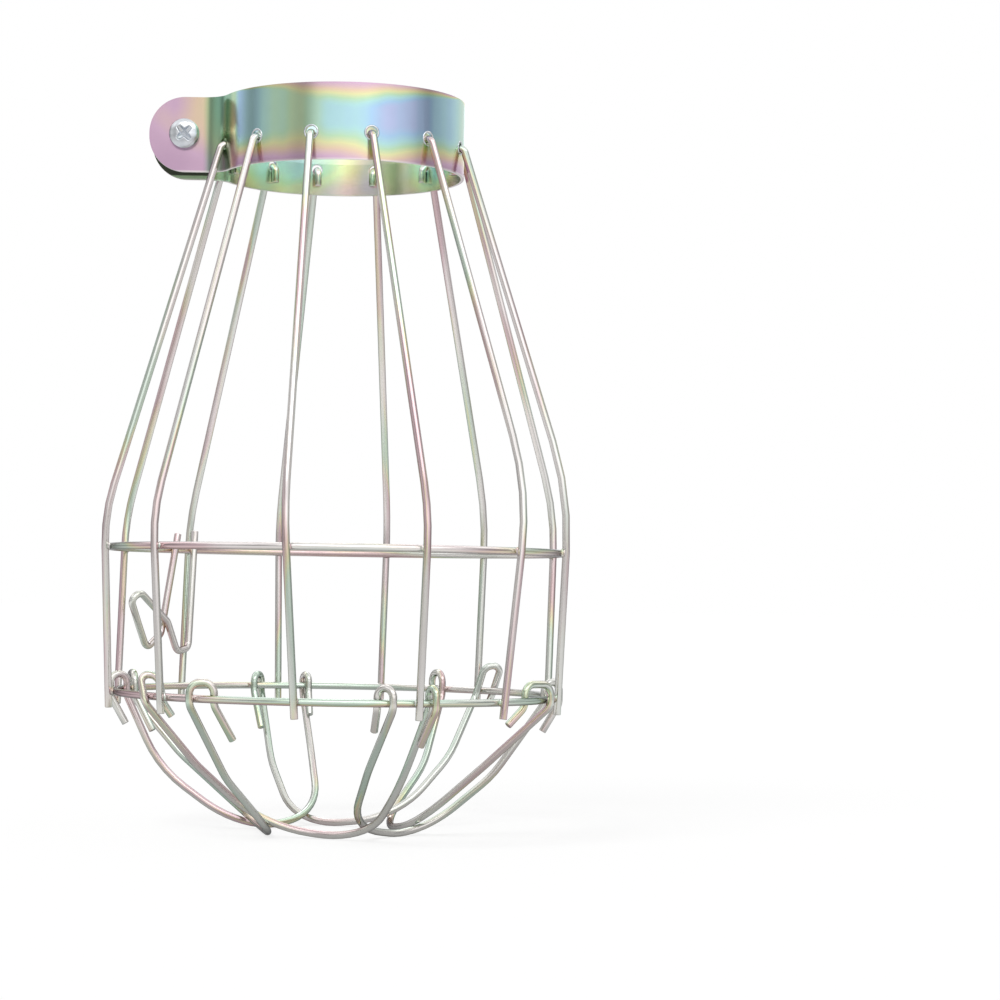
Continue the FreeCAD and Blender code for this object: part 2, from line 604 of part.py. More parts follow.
def make_wire_clip():
    """A spring clip inside the middle ring: two legs, joined below by two bends and a finger."""
    mid_height = size("mid_ring_height")
    inward = (size("mid_ring_radius") - size("lower_ring_radius")) / (mid_height - size("lower_ring_height"))
    bottom = mid_height - size("clip_depth")

    def place(layer, turn, height):
        """A point some wires inside the ring, at a turn from the first leg, on a cone between the rings."""
        radius = size("mid_ring_radius") - layer * touching() - inward * (mid_height - height)
        return at(radius, size("clip_bearing") + turn, height)

    points = [place(1, 0, mid_height + size("clip_leg_above"))]
    for layer, reach_share, rise_share in CLIP_TURNS:
        turn = reach_share * size("clip_finger_degrees")
        points.append(place(layer, turn, bottom + rise_share * size("clip_finger_rise")))
    second = -size("clip_spread_degrees")
    points.append(place(1, second / 2, bottom))
    points.append(place(1, second, mid_height + size("clip_leg_above") + size("wire_dia") / 2))
    return make_bent_wire("wire_clip", points, [size("clip_bend_radius")] * (len(points) - 2))


def check(parts):
    """Stop if any object failed, or if a sub-part is not one valid solid."""
    for item in doc.Objects:
        if "Invalid" in item.State or "Error" in item.State:
            raise ValueError(f"{item.Label} failed: {item.State}")
    for part in parts:
        if part.Shape.isNull() or not part.Shape.isValid():
            raise ValueError(f"{part.Label} has no valid shape")


fill_sheet()
parts = [make_collar_band(), make_clamp_screw(), make_clamp_nut()]
parts += [make_rib(number) for number in range(1, int(size("rib_count")) + 1)]
parts.append(make_ring("mid_ring", "mid_ring_radius", "mid_ring_height"))
parts.append(make_ring("lower_ring", "lower_ring_radius", "lower_ring_height"))
parts += [make_bottom_bow(number) for number in range(1, int(size("bow_count")) + 1)]
parts.append(make_wire_clip())
doc.recompute()
check(parts)
os.makedirs("parts", exist_ok=True)
for part in parts:
    part.Shape.exportStep(f"parts/{part.Label}.step")
    print(f"{part.Label}: {part.Shape.Volume:.2f} mm3, {len(part.Shape.Solids)} solid")
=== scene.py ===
# %% [markdown]
# Bulb cage guard
#
# This lesson dresses the solid model of a wire cage that hangs over a light bulb. The real guard is bent
# from thin steel wire, welded to two hoops, hooked into a sheet-steel collar and then zinc plated. A thin
# film on the zinc breaks the light into soft pinks, greens and golds, and that film is most of its look.
# The solid model comes first, because every wire that is drawn later lies where its solid is.

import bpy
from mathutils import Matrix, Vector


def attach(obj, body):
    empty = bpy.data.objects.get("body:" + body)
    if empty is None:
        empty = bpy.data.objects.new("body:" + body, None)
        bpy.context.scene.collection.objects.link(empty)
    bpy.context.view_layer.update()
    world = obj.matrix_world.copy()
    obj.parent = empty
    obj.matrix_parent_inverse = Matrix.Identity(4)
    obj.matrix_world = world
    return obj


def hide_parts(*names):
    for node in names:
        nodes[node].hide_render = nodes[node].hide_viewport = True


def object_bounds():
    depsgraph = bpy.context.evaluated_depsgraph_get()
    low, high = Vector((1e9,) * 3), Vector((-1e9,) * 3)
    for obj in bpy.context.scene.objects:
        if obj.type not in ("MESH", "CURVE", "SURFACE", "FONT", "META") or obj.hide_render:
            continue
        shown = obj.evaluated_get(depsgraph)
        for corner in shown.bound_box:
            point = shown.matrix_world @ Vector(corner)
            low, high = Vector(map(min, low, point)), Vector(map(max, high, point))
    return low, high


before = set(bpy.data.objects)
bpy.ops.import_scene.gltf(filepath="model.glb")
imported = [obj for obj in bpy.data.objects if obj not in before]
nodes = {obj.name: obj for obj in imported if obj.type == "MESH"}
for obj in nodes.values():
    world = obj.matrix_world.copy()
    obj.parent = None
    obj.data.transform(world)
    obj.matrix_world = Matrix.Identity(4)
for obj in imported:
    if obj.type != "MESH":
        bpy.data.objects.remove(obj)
cad_box = [list(corner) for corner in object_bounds()]
print("solid model from", cad_box[0], "to", cad_box[1])

# %% Tools and units
import math

import bpy
import numpy as np
from mathutils import Matrix

MM = 0.001


def at(radius, bearing, height):
    """The point at a radius and a height, turned by a bearing in degrees from the front towards the right."""
    turn = math.radians(bearing)
    return np.array([radius * math.sin(turn), -radius * math.cos(turn), height])


def full_turn(count):
    """Evenly spaced angles around a full turn, in radians."""
    return np.linspace(0, 2 * math.pi, count, endpoint=False)


def unit(vectors):
    """Vectors divided by their own lengths."""
    return vectors / np.linalg.norm(vectors, axis=-1, keepdims=True)


print(len(nodes), "solids are in the frame")

# %% [markdown]
# From arrays to meshes
#
# Every new piece is a grid of points: rows that follow a path, and columns that go round a profile. A mesh
# could be built face by face with bmesh, but a grid knows its own faces, so whole arrays of vertex numbers
# are enough. A row is a closed loop of points. The ends are closed with a fan of triangles around one pole.

# %% Skin a grid of rows
NO_TRIANGLES = np.empty((0, 3), int)


def strips(near, far):
    """Quads that join column j and j + 1 of each near row to the same columns of its far row."""
    return np.stack([near, np.roll(near, -1, axis=1), np.roll(far, -1, axis=1), far], axis=-1).reshape(-1, 4)


def skin(grid, closed_path=False):
    """Vertices, quads and end triangles of a tube with the rows grid[i], whose columns close on themselves.

    Strips join row i to row i + 1. A closed path joins its last row to its first. An open one gets a pole
    in the middle of its first and last row.
    """
    rows, columns, _ = grid.shape
    number = np.arange(rows * columns).reshape(rows, columns)
    if closed_path:
        return grid.reshape(-1, 3), strips(number, np.roll(number, -1, axis=0)), NO_TRIANGLES
    poles = grid[[0, -1]].mean(axis=1)
    first, last = number[0], number[-1]
    start_fan = np.stack([np.full(columns, number.size), np.roll(first, -1), first], axis=-1)
    end_fan = np.stack([np.full(columns, number.size + 1), last, np.roll(last, -1)], axis=-1)
    points = np.concatenate([grid.reshape(-1, 3), poles])
    return points, strips(number[:-1], number[1:]), np.concatenate([start_fan, end_fan])


def gather(skins):
    """Several skins as one: the vertex numbers of each are moved on by the vertices before it."""
    starts = np.cumsum([0] + [len(points) for points, _, _ in skins[:-1]])
    points = np.concatenate([part[0] for part in skins])
    quads = np.concatenate([part[1] + start for part, start in zip(skins, starts)])
    triangles = np.concatenate([part[2] + start for part, start in zip(skins, starts)])
    return points, quads, triangles


print("a tube of 3 rows and 4 columns has", len(skin(np.zeros((3, 4, 3)))[1]), "quads")


# %% Put arrays into a mesh object
def place_object(name, data):
    """A new object in the scene, at the origin."""
    thing = bpy.data.objects.new(name, data)
    bpy.context.scene.collection.objects.link(thing)
    return thing


def array_mesh(name, points, quads, triangles, material):
    """A smooth mesh made from arrays of points and faces."""
    corners = np.concatenate([quads.ravel(), triangles.ravel()])
    sides = np.concatenate([np.full(len(quads), 4), np.full(len(triangles), 3)])
    mesh = bpy.data.meshes.new(name)
    mesh.vertices.add(len(points))
    mesh.vertices.foreach_set("co", np.asarray(points, np.float32).ravel())
    mesh.loops.add(len(corners))
    mesh.loops.foreach_set("vertex_index", corners.astype(np.int32))
    mesh.polygons.add(len(sides))
    mesh.polygons.foreach_set("loop_start", (np.cumsum(sides) - sides).astype(np.int32))
    mesh.polygons.foreach_set("use_smooth", np.ones(len(sides), bool))
    mesh.update(calc_edges=True)
    mesh.validate()
    mesh.materials.append(material)
    return mesh


def make_piece(name, points, quads, triangles, material, slot, stands_for=()):
    """A piece of the guard, riding on its one body."""
    piece = place_object(name, array_mesh(name, points, quads, triangles, material))
    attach(piece, "root")
    if stands_for:
        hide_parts(*stands_for)
    return piece


def write_attribute(piece, name, values):
    """Store one vector for each vertex, for a material to read."""
    layer = piece.data.attributes.new(name, "FLOAT_VECTOR", "POINT")
    layer.data.foreach_set("vector", np.asarray(values, np.float32).ravel())


print("grids can now be skinned")

# %% [markdown]
# Shader nodes in short
#
# The materials below are node trees. Small helpers keep their cells readable: they place a node with its
# settings and inputs, and do arithmetic on sockets and vectors. An input that is a socket is linked, and
# any other input is a plain value.

# %% Place nodes
def put(tree, kind, inputs=None, **settings):
    """A node of a kind, with its settings, its values and its links."""
    node = tree.nodes.new(kind)
    for key, value in settings.items():
        setattr(node, key, value)
    for key, value in (inputs or {}).items():
        if isinstance(value, bpy.types.NodeSocket):
            tree.links.new(value, node.inputs[key])
        else:
            node.inputs[key].default_value = value
    return node


def calc(tree, operation, *values, clamp=False):
    """The result of one Math node on sockets and numbers."""
    node = put(tree, "ShaderNodeMath", dict(enumerate(values)), operation=operation, use_clamp=clamp)
    return node.outputs[0]


def times(tree, first, second):
    """The product of two values."""
    return calc(tree, "MULTIPLY", first, second)


def towards(tree, factor, first, second):
    """A value between two values: first + factor x (second - first)."""
    return calc(tree, "MULTIPLY_ADD", factor, calc(tree, "SUBTRACT", second, first), first)


def shaken(tree, value, shake, amount):
    """A value moved by noise around one half: value + amount x (shake - 1/2)."""
    return calc(tree, "MULTIPLY_ADD", shake, amount, calc(tree, "SUBTRACT", value, amount / 2))


def between(tree, value, low, high, out_low=0.0, out_high=1.0):
    """A smooth step: out_low below low, out_high above high."""
    inputs = {"Value": value, "From Min": low, "From Max": high, "To Min": out_low, "To Max": out_high}
    return put(tree, "ShaderNodeMapRange", inputs, interpolation_type="SMOOTHSTEP").outputs["Result"]


def mixed(tree, factor, first, second):
    """A colour between two colours."""
    inputs = {"Factor": factor, 6: first, 7: second}
    return put(tree, "ShaderNodeMix", inputs, data_type="RGBA").outputs[2]


def noise(tree, vector, scale, detail=2.0, roughness=0.5):
    """Soft noise around one half."""
    inputs = {"Vector": vector, "Scale": scale, "Detail": detail, "Roughness": roughness}
    return put(tree, "ShaderNodeTexNoise", inputs).outputs["Fac"]


print("nodes can be placed and reckoned with")


# %% Work with vectors
def object_place(tree):
    """Where a point lies on its object, in metres."""
    return put(tree, "ShaderNodeTexCoord").outputs["Object"]


def parts_of(tree, vector):
    """The X, Y and Z of a vector."""
    return put(tree, "ShaderNodeSeparateXYZ", {0: vector}).outputs


def joined(tree, x, y, z=0.0):
    """A vector from its X, Y and Z."""
    return put(tree, "ShaderNodeCombineXYZ", {"X": x, "Y": y, "Z": z}).outputs[0]


def length_of(tree, vector):
    """The length of a vector."""
    return put(tree, "ShaderNodeVectorMath", {0: vector}, operation="LENGTH").outputs["Value"]


def stretched(tree, vector, factors):
    """A vector with each of its parts scaled."""
    return put(tree, "ShaderNodeVectorMath", {0: vector, 1: factors}, operation="MULTIPLY").outputs[0]


print("vectors can be taken apart, joined, measured and stretched")


# %% Colours, groups and materials
def screen(red, green, blue):
    """A colour as it is read off a screen, turned into the linear values that shaders take."""
    levels = np.array([red, green, blue]) / 255.0
    linear = np.where(levels <= 0.04045, levels / 12.92, ((levels + 0.055) / 1.055) ** 2.4)
    return (*linear.tolist(), 1.0)


def new_group(name, inputs, outputs):
    """An empty node group with named sockets."""
    tree = bpy.data.node_groups.new(name, "ShaderNodeTree")
    for label, kind, value in inputs:
        socket = tree.interface.new_socket(label, in_out="INPUT", socket_type=kind)
        if value is not None:
            socket.default_value = value
    for label, kind in outputs:
        tree.interface.new_socket(label, in_out="OUTPUT", socket_type=kind)
    return tree, put(tree, "NodeGroupInput").outputs, put(tree, "NodeGroupOutput").inputs


def new_material(name):
    """A material with a Principled BSDF and its output, ready for links."""
    material = bpy.data.materials.new(name)
    material.use_nodes = True
    return material, material.node_tree, material.node_tree.nodes["Principled BSDF"].inputs


print("a middle grey on the screen is", round(screen(128, 128, 128)[0], 3), "in a shader")

# %% [markdown]
# The plating film
#
# Yellow-chromate zinc is grey metal under a transparent film. Where the film is thicker, another colour is
# cancelled, so going from an edge to the middle of a sheet the tint runs through lilac, pink, gold, green,
# cyan and blue. The colours could be painted by hand, but one ramp from film thickness to tint lets every
# plated piece share the same sequence and differ only in its thickness. The group also takes a strength,
# because the film on the wires is thinner and paler than on the collar.

# %% Film thickness to tint
# Film thickness and its tint
FILM_TINTS = [
    (0.00, screen(180, 146, 176)),
    (0.13, screen(208, 174, 199)),
    (0.26, screen(224, 198, 172)),
    (0.38, screen(220, 219, 166)),
    (0.52, screen(184, 216, 180)),
    (0.66, screen(172, 214, 214)),
    (0.82, screen(164, 198, 228)),
    (1.00, screen(186, 184, 222)),
]


def film_group():
    """Thickness and strength in, tint out."""
    tree, given, result = new_group(
        "plating film",
        [("Thickness", "NodeSocketFloat", 0.5), ("Strength", "NodeSocketFloat", 1.0),
         ("Bare zinc", "NodeSocketColor", screen(214, 214, 212))],
        [("Colour", "NodeSocketColor")],
    )
    ramp = put(tree, "ShaderNodeValToRGB", {"Fac": given["Thickness"]})
    stops = ramp.color_ramp.elements
    while len(stops) < len(FILM_TINTS):
        stops.new(0.5)
    for stop, (place, colour) in zip(stops, FILM_TINTS):
        stop.position = place
        stop.color = colour
    tinted = mixed(tree, given["Strength"], given["Bare zinc"], ramp.outputs["Color"])
    tree.links.new(tinted, result["Colour"])
    return tree


film = film_group()
print("film group with", len(FILM_TINTS), "tints")

# %% [markdown]
# Handling marks
#
# Plated hardware is tumbled and packed loose, so it carries faint smudges and fine rubbing marks. These
# change the roughness and leave a very shallow relief. They belong to every plated piece, so they are a
# second group that takes a place on the piece and gives a roughness and a height.

# %% Smudges and rubbing marks
def handling_group():
    """A place in millimetres in, roughness and height out."""
    tree, given, result = new_group(
        "handling marks",
        [("Place", "NodeSocketVector", None), ("Smooth", "NodeSocketFloat", 0.2),
         ("Worn", "NodeSocketFloat", 0.4)],
        [("Roughness", "NodeSocketFloat"), ("Height", "NodeSocketFloat")],
    )
    smudge = noise(tree, given["Place"], 0.35, detail=3.0)
    rub = noise(tree, stretched(tree, given["Place"], (0.25, 3.0, 3.0)), 2.2, detail=4.0, roughness=0.65)
    share = calc(tree, "MULTIPLY_ADD", smudge, 0.7, times(tree, rub, 0.3), clamp=True)
    tree.links.new(towards(tree, share, given["Smooth"], given["Worn"]), result["Roughness"])
    tree.links.new(rub, result["Height"])
    return tree


handling = handling_group()
print("made the group", handling.name)


# %% Metal with handling marks
def handled(tree, place, smooth, worn):
    """The outputs of the marks on one finish, with a roughness between smooth and worn."""
    values = {"Place": place, "Smooth": smooth, "Worn": worn}
    return put(tree, "ShaderNodeGroup", values, node_tree=handling).outputs


def finish_metal(tree, shader, colour, roughness, height, relief, depth):
    """Link a colour, a roughness and a bump of some strength and depth to a metal."""
    bump = put(tree, "ShaderNodeBump", {"Height": height, "Strength": relief, "Distance": depth})
    tree.links.new(colour, shader["Base Color"])
    tree.links.new(roughness, shader["Roughness"])
    tree.links.new(bump.outputs["Normal"], shader["Normal"])
    shader["Metallic"].default_value = 1.0


print("every metal takes its marks from", handling.name)

# %% [markdown]
# The finish of the wire
#
# The drawn wire is silvery grey. Its film is thin and patchy: for a few centimetres it shows rose or gold,
# then grey-green, and between them almost nothing. The lower part is painted greyer, as painted shade for the
# darker surroundings that it reflects near the floor. A pattern on object coordinates would cut across the
# bends, so each wire carries its own places: the length along the wire, and the position on its round
# section. Both are in millimetres, and the length starts at a different value for each wire, so no two wires
# are alike. A darker edge tint on the metal gives the thin dark outline that drawn wire has.

# %% Plated wire material
PATCH_STRETCH = (0.030, 0.22, 0.22)
STREAK_STRETCH = (0.012, 1.10, 1.10)
COVER_STRETCH = (0.021, 0.35, 0.35)
ROSE_FILM = 0.19
GREEN_FILM = 0.56
# Painted shade: from the upper to the lower of these heights the wire is painted a darker grey
LOW_SHADE_HEIGHTS = (8 * MM, 85 * MM)
LOW_SHADE_GREY = screen(224, 224, 220)
UPPER_GREY = screen(246, 240, 239)
WIRE_EDGE = (0.35, 0.35, 0.36, 1.0)


def plated_wire():
    """Zinc plated wire with a thin film in long patches and streaks."""
    material, tree, shader = new_material("plated wire")
    place = put(tree, "ShaderNodeAttribute", attribute_name="wire_place").outputs["Vector"]
    patches = noise(tree, stretched(tree, place, PATCH_STRETCH), 1.0, detail=1.5)
    streaks = noise(tree, stretched(tree, place, STREAK_STRETCH), 1.0, detail=2.0)
    cover = noise(tree, stretched(tree, place, COVER_STRETCH), 1.3, detail=2.0)
    sway = calc(tree, "MULTIPLY_ADD", streaks, 0.3, times(tree, patches, 0.7))
    rose_to_green = between(tree, sway, 0.45, 0.55, ROSE_FILM, GREEN_FILM)
    thickness = shaken(tree, rose_to_green, streaks, 0.10)
    height = parts_of(tree, object_place(tree))["Z"]
    # Painted shade: the grey darkens from 85 mm down to 8 mm above the floor
    grey = mixed(tree, between(tree, height, *LOW_SHADE_HEIGHTS), LOW_SHADE_GREY, UPPER_GREY)
    paler = between(tree, sway, 0.46, 0.58, 1.0, 0.6)
    strength = times(tree, between(tree, cover, 0.40, 0.60, 0.08, 0.84), paler)
    values = {"Thickness": thickness, "Strength": strength, "Bare zinc": grey}
    colour = put(tree, "ShaderNodeGroup", values, node_tree=film).outputs["Colour"]
    marks = handled(tree, place, smooth=0.06, worn=0.24)
    finish_metal(tree, shader, colour, marks["Roughness"], marks["Height"], relief=0.35, depth=0.03 * MM)
    shader["Specular Tint"].default_value = WIRE_EDGE
    return material


wire_finish = plated_wire()
print("made", wire_finish.name)

# %% [markdown]
# Bent wires
#
# A wire former pushes wire through a die and folds it over pins, so each wire is straight runs joined by
# round bends. A curve object with a bevel could draw it, but then the mesh would have no places of its own
# for the streaks. Here the path is worked out point by point in arrays, and a circle is carried along it.

# %% The path of a bent wire
RUN_STEP = 2.0 * MM
BEND_STEP = math.radians(7.0)
BEND_ROOM = 0.49
LEAST_STEP = 0.01 * MM


def bent_path(corners, radii):
    """Points along straight runs with a tangent arc at each inner corner.

    The arc starts and ends at radius x tan(half turn) from the corner, or at most at BEND_ROOM of the shorter
    run. Its centre lies on the inner bisector, at radius / cos(half turn), and its points turn about it.
    """
    corners = np.asarray(corners, float)
    runs = np.diff(corners, axis=0)
    lengths = np.linalg.norm(runs, axis=1)
    ways = runs / lengths[:, None]
    half_turns = np.arccos(np.clip((ways[:-1] * ways[1:]).sum(axis=1), -1, 1)) / 2
    room = BEND_ROOM * np.minimum(lengths[:-1], lengths[1:])
    setbacks = np.minimum(np.asarray(radii) * np.tan(half_turns), room)
    bends = setbacks / np.tan(half_turns)
    pieces = []
    start = corners[0]
    for corner, before, after, half, setback, bend in zip(
        corners[1:-1], ways[:-1], ways[1:], half_turns, setbacks, bends
    ):
        inward, along = unit(after - before), unit(after + before)
        centre = corner + inward * bend / math.cos(half)
        turn = np.linspace(-half, half, max(4, int(2 * half / BEND_STEP) + 2))[:, None]
        run_end = corner - before * setback
        pieces.append(straight(start, run_end))
        pieces.append(centre + bend * (along * np.sin(turn) - inward * np.cos(turn)))
        start = corner + after * setback
    pieces.append(straight(start, corners[-1]))
    points = np.concatenate(pieces)
    steps = np.linalg.norm(np.diff(points, axis=0), axis=1)
    return points[np.concatenate([[True], steps > LEAST_STEP])]


def straight(start, end):
    """Evenly spaced points from start to end."""
    share = np.linspace(0, 1, max(2, int(np.linalg.norm(end - start) / RUN_STEP) + 1))[:, None]
    return start + share * (end - start)


print("a bend of a right angle has", int(math.pi / 2 / BEND_STEP) + 2, "points")

# %% The round section carried along a path
SECTION = full_turn(18)
SECTION_RADIUS = 0.7 * MM
CUT_DEPTHS = np.array([0.0, 0.015, 0.06, 0.16]) * MM
CUT_SHARES = np.array([0.78, 0.90, 0.975, 1.0])
PATTERN_STEP = 137.0


def steady_reference(tangents):
    """Of a few hundred directions on a spiral over a sphere, the one least parallel to the path anywhere."""
    count = 400
    index = np.arange(count) + 0.5
    height = 1 - 2 * index / count
    turn = math.pi * (1 + math.sqrt(5)) * index
    flat = np.sqrt(1 - height**2)
    candidates = np.stack([flat * np.cos(turn), flat * np.sin(turn), height], axis=1)
    worst = np.abs(candidates @ tangents.T).max(axis=1)
    return candidates[worst.argmin()]


def round_wire(path, closed_path=False):
    """Rows of a circle carried along a path, and the place of each point on the wire.

    A row is centre + radius x (cos(angle) x side + sin(angle) x up), where side is the reference direction
    made square to the path and up is square to both. At a cut end the radius shrinks over a short depth.
    """
    if closed_path:
        tangents = unit(np.roll(path, -1, axis=0) - np.roll(path, 1, axis=0))
    else:
        tangents = unit(np.gradient(path, axis=0))
    lengths = np.concatenate([[0], np.cumsum(np.linalg.norm(np.diff(path, axis=0), axis=1))])
    shares = np.ones(len(path))
    if not closed_path:
        keep = (lengths > CUT_DEPTHS[-1] * 1.5) & (lengths < lengths[-1] - CUT_DEPTHS[-1] * 1.5)
        inner = path[keep]
        start = path[0] + CUT_DEPTHS[:, None] * tangents[0]
        end = path[-1] - CUT_DEPTHS[::-1, None] * tangents[-1]
        path = np.concatenate([start, inner, end])
        cut = len(CUT_DEPTHS)
        first_way = np.repeat(tangents[:1], cut, axis=0)
        last_way = np.repeat(tangents[-1:], cut, axis=0)
        lengths = np.concatenate([CUT_DEPTHS, lengths[keep], lengths[-1] - CUT_DEPTHS[::-1]])
        tangents = np.concatenate([first_way, tangents[keep], last_way])
        shares = np.concatenate([CUT_SHARES, np.ones(len(inner)), CUT_SHARES[::-1]])
    reference = steady_reference(tangents)
    side = unit(reference - (tangents @ reference)[:, None] * tangents)
    up = np.cross(tangents, side)
    radius = (SECTION_RADIUS * shares)[:, None]
    across = radius * np.cos(SECTION)
    above = radius * np.sin(SECTION)
    grid = path[:, None] + across[..., None] * side[:, None] + above[..., None] * up[:, None]
    place = np.stack([np.broadcast_to(lengths[:, None], across.shape), across, above], axis=-1)
    return grid, place


def make_wire(node, path, wire_number, closed_path=False):
    """One wire of the guard, with the places that its finish follows."""
    grid, place = round_wire(path, closed_path)
    points, quads, triangles = skin(grid, closed_path)
    piece = make_piece(f"{node}_drawn", points, quads, triangles, wire_finish, "plated_wire", [node])
    places = place.reshape(-1, 3)
    if not closed_path:
        places = np.concatenate([places, place[[0, -1]].mean(axis=1)])
    start = np.array([PATTERN_STEP * wire_number, 0, 0])
    write_attribute(piece, "wire_place", places / MM + start)
    return piece


print("a wire has", len(SECTION), "points around")

# %% [markdown]
# The ribs
#
# Twelve ribs hang from the collar. Each is pushed through a hole in the band, folded down inside it, and
# runs down and outwards to a shoulder, then straight down past the two hoops. They are set by hand, so
# each leans a few degrees to one side. The rows below repeat the sizes of the solids, in metres.

# %% Ribs
TOUCHING = 1.42 * MM
BAND_BORE_RADIUS = 22.6 * MM
BAND_THICKNESS = 0.8 * MM
BAND_FACE = BAND_BORE_RADIUS + BAND_THICKNESS
BAND_BOTTOM = 125.8 * MM
BAND_HEIGHT = 14.2 * MM
HOOK_HEIGHT = BAND_BOTTOM + 4.9 * MM
HOOK_STUB = 3.2 * MM
HOOK_BEND = 1.1 * MM
MID_RING = (43.1 * MM, 54.4 * MM)
LOWER_RING = (41.8 * MM, 26.9 * MM)
SHOULDER_RISE = 6.0 * MM
RIB_TAIL = 3.0 * MM
RIB_FIRST_BEARING = -75.5
RIB_PITCH = 29.6
# Each rib: its turn in degrees at its hole, the middle hoop and the lower hoop, and its share of the rise
RIB_SETS = [
    (4.0, -1.5, -4.5, 1.0), (3.0, -1.5, -0.5, 1.0), (2.0, 5.0, 7.0, 1.0), (0.0, 8.0, 7.5, 1.0),
    (0.0, 6.3, 3.0, 1.8), (0.0, 4.5, 6.5, 1.8), (0.0, 4.0, 1.5, 1.3), (1.8, 5.5, 5.5, 1.3),
    (2.4, 5.0, 5.5, 1.0), (1.6, 4.5, 4.5, 1.0), (-3.5, 2.0, 5.0, 1.0), (0.0, -0.5, 7.0, 1.0),
]
EVEN_BEARINGS = [RIB_FIRST_BEARING + RIB_PITCH * index for index in range(len(RIB_SETS))]
HOLE_BEARINGS = [even + sets[0] for even, sets in zip(EVEN_BEARINGS, RIB_SETS)]


def rib_path(even, hole_set, mid_set, lower_set, rise_share):
    """From the end inside the band, out through its hole, down to the shoulder and past the two hoops."""
    inside = BAND_BORE_RADIUS - TOUCHING + SECTION_RADIUS
    outside = BAND_FACE + SECTION_RADIUS
    hole_bearing = even + hole_set
    mid = at(MID_RING[0] + TOUCHING, even + mid_set, MID_RING[1])
    lower = at(LOWER_RING[0] + TOUCHING, even + lower_set, LOWER_RING[1])
    upward = unit(mid - lower)
    rise = SHOULDER_RISE * rise_share
    shoulder = mid + upward * rise
    corners = [
        at(inside, hole_bearing, HOOK_HEIGHT - HOOK_STUB),
        at(inside, hole_bearing, HOOK_HEIGHT),
        at(outside, hole_bearing, HOOK_HEIGHT),
        shoulder,
        lower - upward * RIB_TAIL,
    ]
    over = unit(shoulder - corners[2])
    half_turn = math.acos(float(-over @ upward)) / 2
    return bent_path(corners, [HOOK_BEND, HOOK_BEND, rise / math.tan(half_turn)])


ribs = [
    make_wire(f"rib_{index + 1:02d}", rib_path(even, *RIB_SETS[index]), index)
    for index, even in enumerate(EVEN_BEARINGS)
]
print(len(ribs), "ribs,", sum(len(rib.data.polygons) for rib in ribs), "faces")

# %% [markdown]
# The two hoops
#
# The hoops are wire rings that lie inside the ribs and are welded to each of them. A torus has the same
# form but no places along the wire, so the wire's own section is carried around a circle.

# %% Hoops
RING_POINTS = 150
FIRST_HOOP_NUMBER = 21


def ring_path(radius, height):
    """A circle: radius x cos, radius x sin, and one height."""
    turn = full_turn(RING_POINTS)
    return np.stack([radius * np.cos(turn), radius * np.sin(turn), np.full_like(turn, height)], axis=1)


hoops = [
    make_wire(node, ring_path(*ring), FIRST_HOOP_NUMBER + index, closed_path=True)
    for index, (node, ring) in enumerate([("mid_ring", MID_RING), ("lower_ring", LOWER_RING)])
]
print(len(hoops), "hoops of radius", MID_RING[0] / MM, "and", LOWER_RING[0] / MM, "mm")

# %% [markdown]
# The bottom bows
#
# Six U-shaped bows close the bottom. Each hooks over the lower hoop at both ends, and neighbours cross: the
# left half of a bow passes over the next one and its right half under. The hooks were closed by hand, so
# each has its own place, rise and tail. Each path is two halves, with a small lift that lets them cross.

# %% Bows
FIRST_BOW_NUMBER = 31
BOW_FIRST_BEARING = -14.5
BOW_PITCH = 60.0
BOW_HALF_SPAN = 36.0
# Each hook: its turn in degrees, its side of the hoop, and shares of rise, shift, tail, drift, lean, knee
BOW_HOOKS = [
    ((-2.0, 1, 1.3, 0.8, 0.55, 0.4, -0.8, 1.0), (3.5, -1, 0.9, 0.0, 1.2, -0.5, 0.0, 1.0)),
    ((4.7, 1, 0.9, -1.0, 0.8, 0.0, 0.0, 1.0), (3.0, -1, 1.0, 1.0, 1.0, 0.0, 0.0, 0.9)),
    ((0.0, 1, 1.0, -2.7, 0.7, -1.4, 0.0, 0.95), (5.0, -1, 1.1, 1.8, 1.0, 0.0, 0.0, 0.9)),
    ((5.0, -1, 1.7, -0.8, 0.4, 0.0, -1.2, 0.95), (-1.3, 1, 0.75, 1.2, 1.3, 0.0, 0.0, 0.95)),
    ((-1.0, 1, 0.75, -0.4, 0.9, 0.0, 0.0, 1.0), (1.0, -1, 1.0, 1.0, 1.0, 0.0, 0.0, 1.0)),
    ((-1.0, 1, 1.0, 2.0, 1.25, 0.3, 0.0, 1.0), (1.9, 1, 1.0, 1.55, 1.15, 0.9, 0.0, 0.9)),
]
# Reach, spread and level of the two inner bends
KNEE = (26.6 * MM, 19.6 * MM, 13.0 * MM)
NOSE = (13.5 * MM, 10.2 * MM, 1.2 * MM)
KNEE_RADIUS = 22.0 * MM
NOSE_RADIUS = 17.5 * MM
BOW_LIFT = 2.4 * MM
BOW_HOOK_RISE = 3.0 * MM
BOW_HOOK_DROP = 1.1 * MM
BOW_HOOK_SHIFT = 2.2 * MM
BOW_HOOK_BEND = 2.8 * MM
BOW_TAIL = 6.5 * MM
BOW_TAIL_LEAN = 30.0


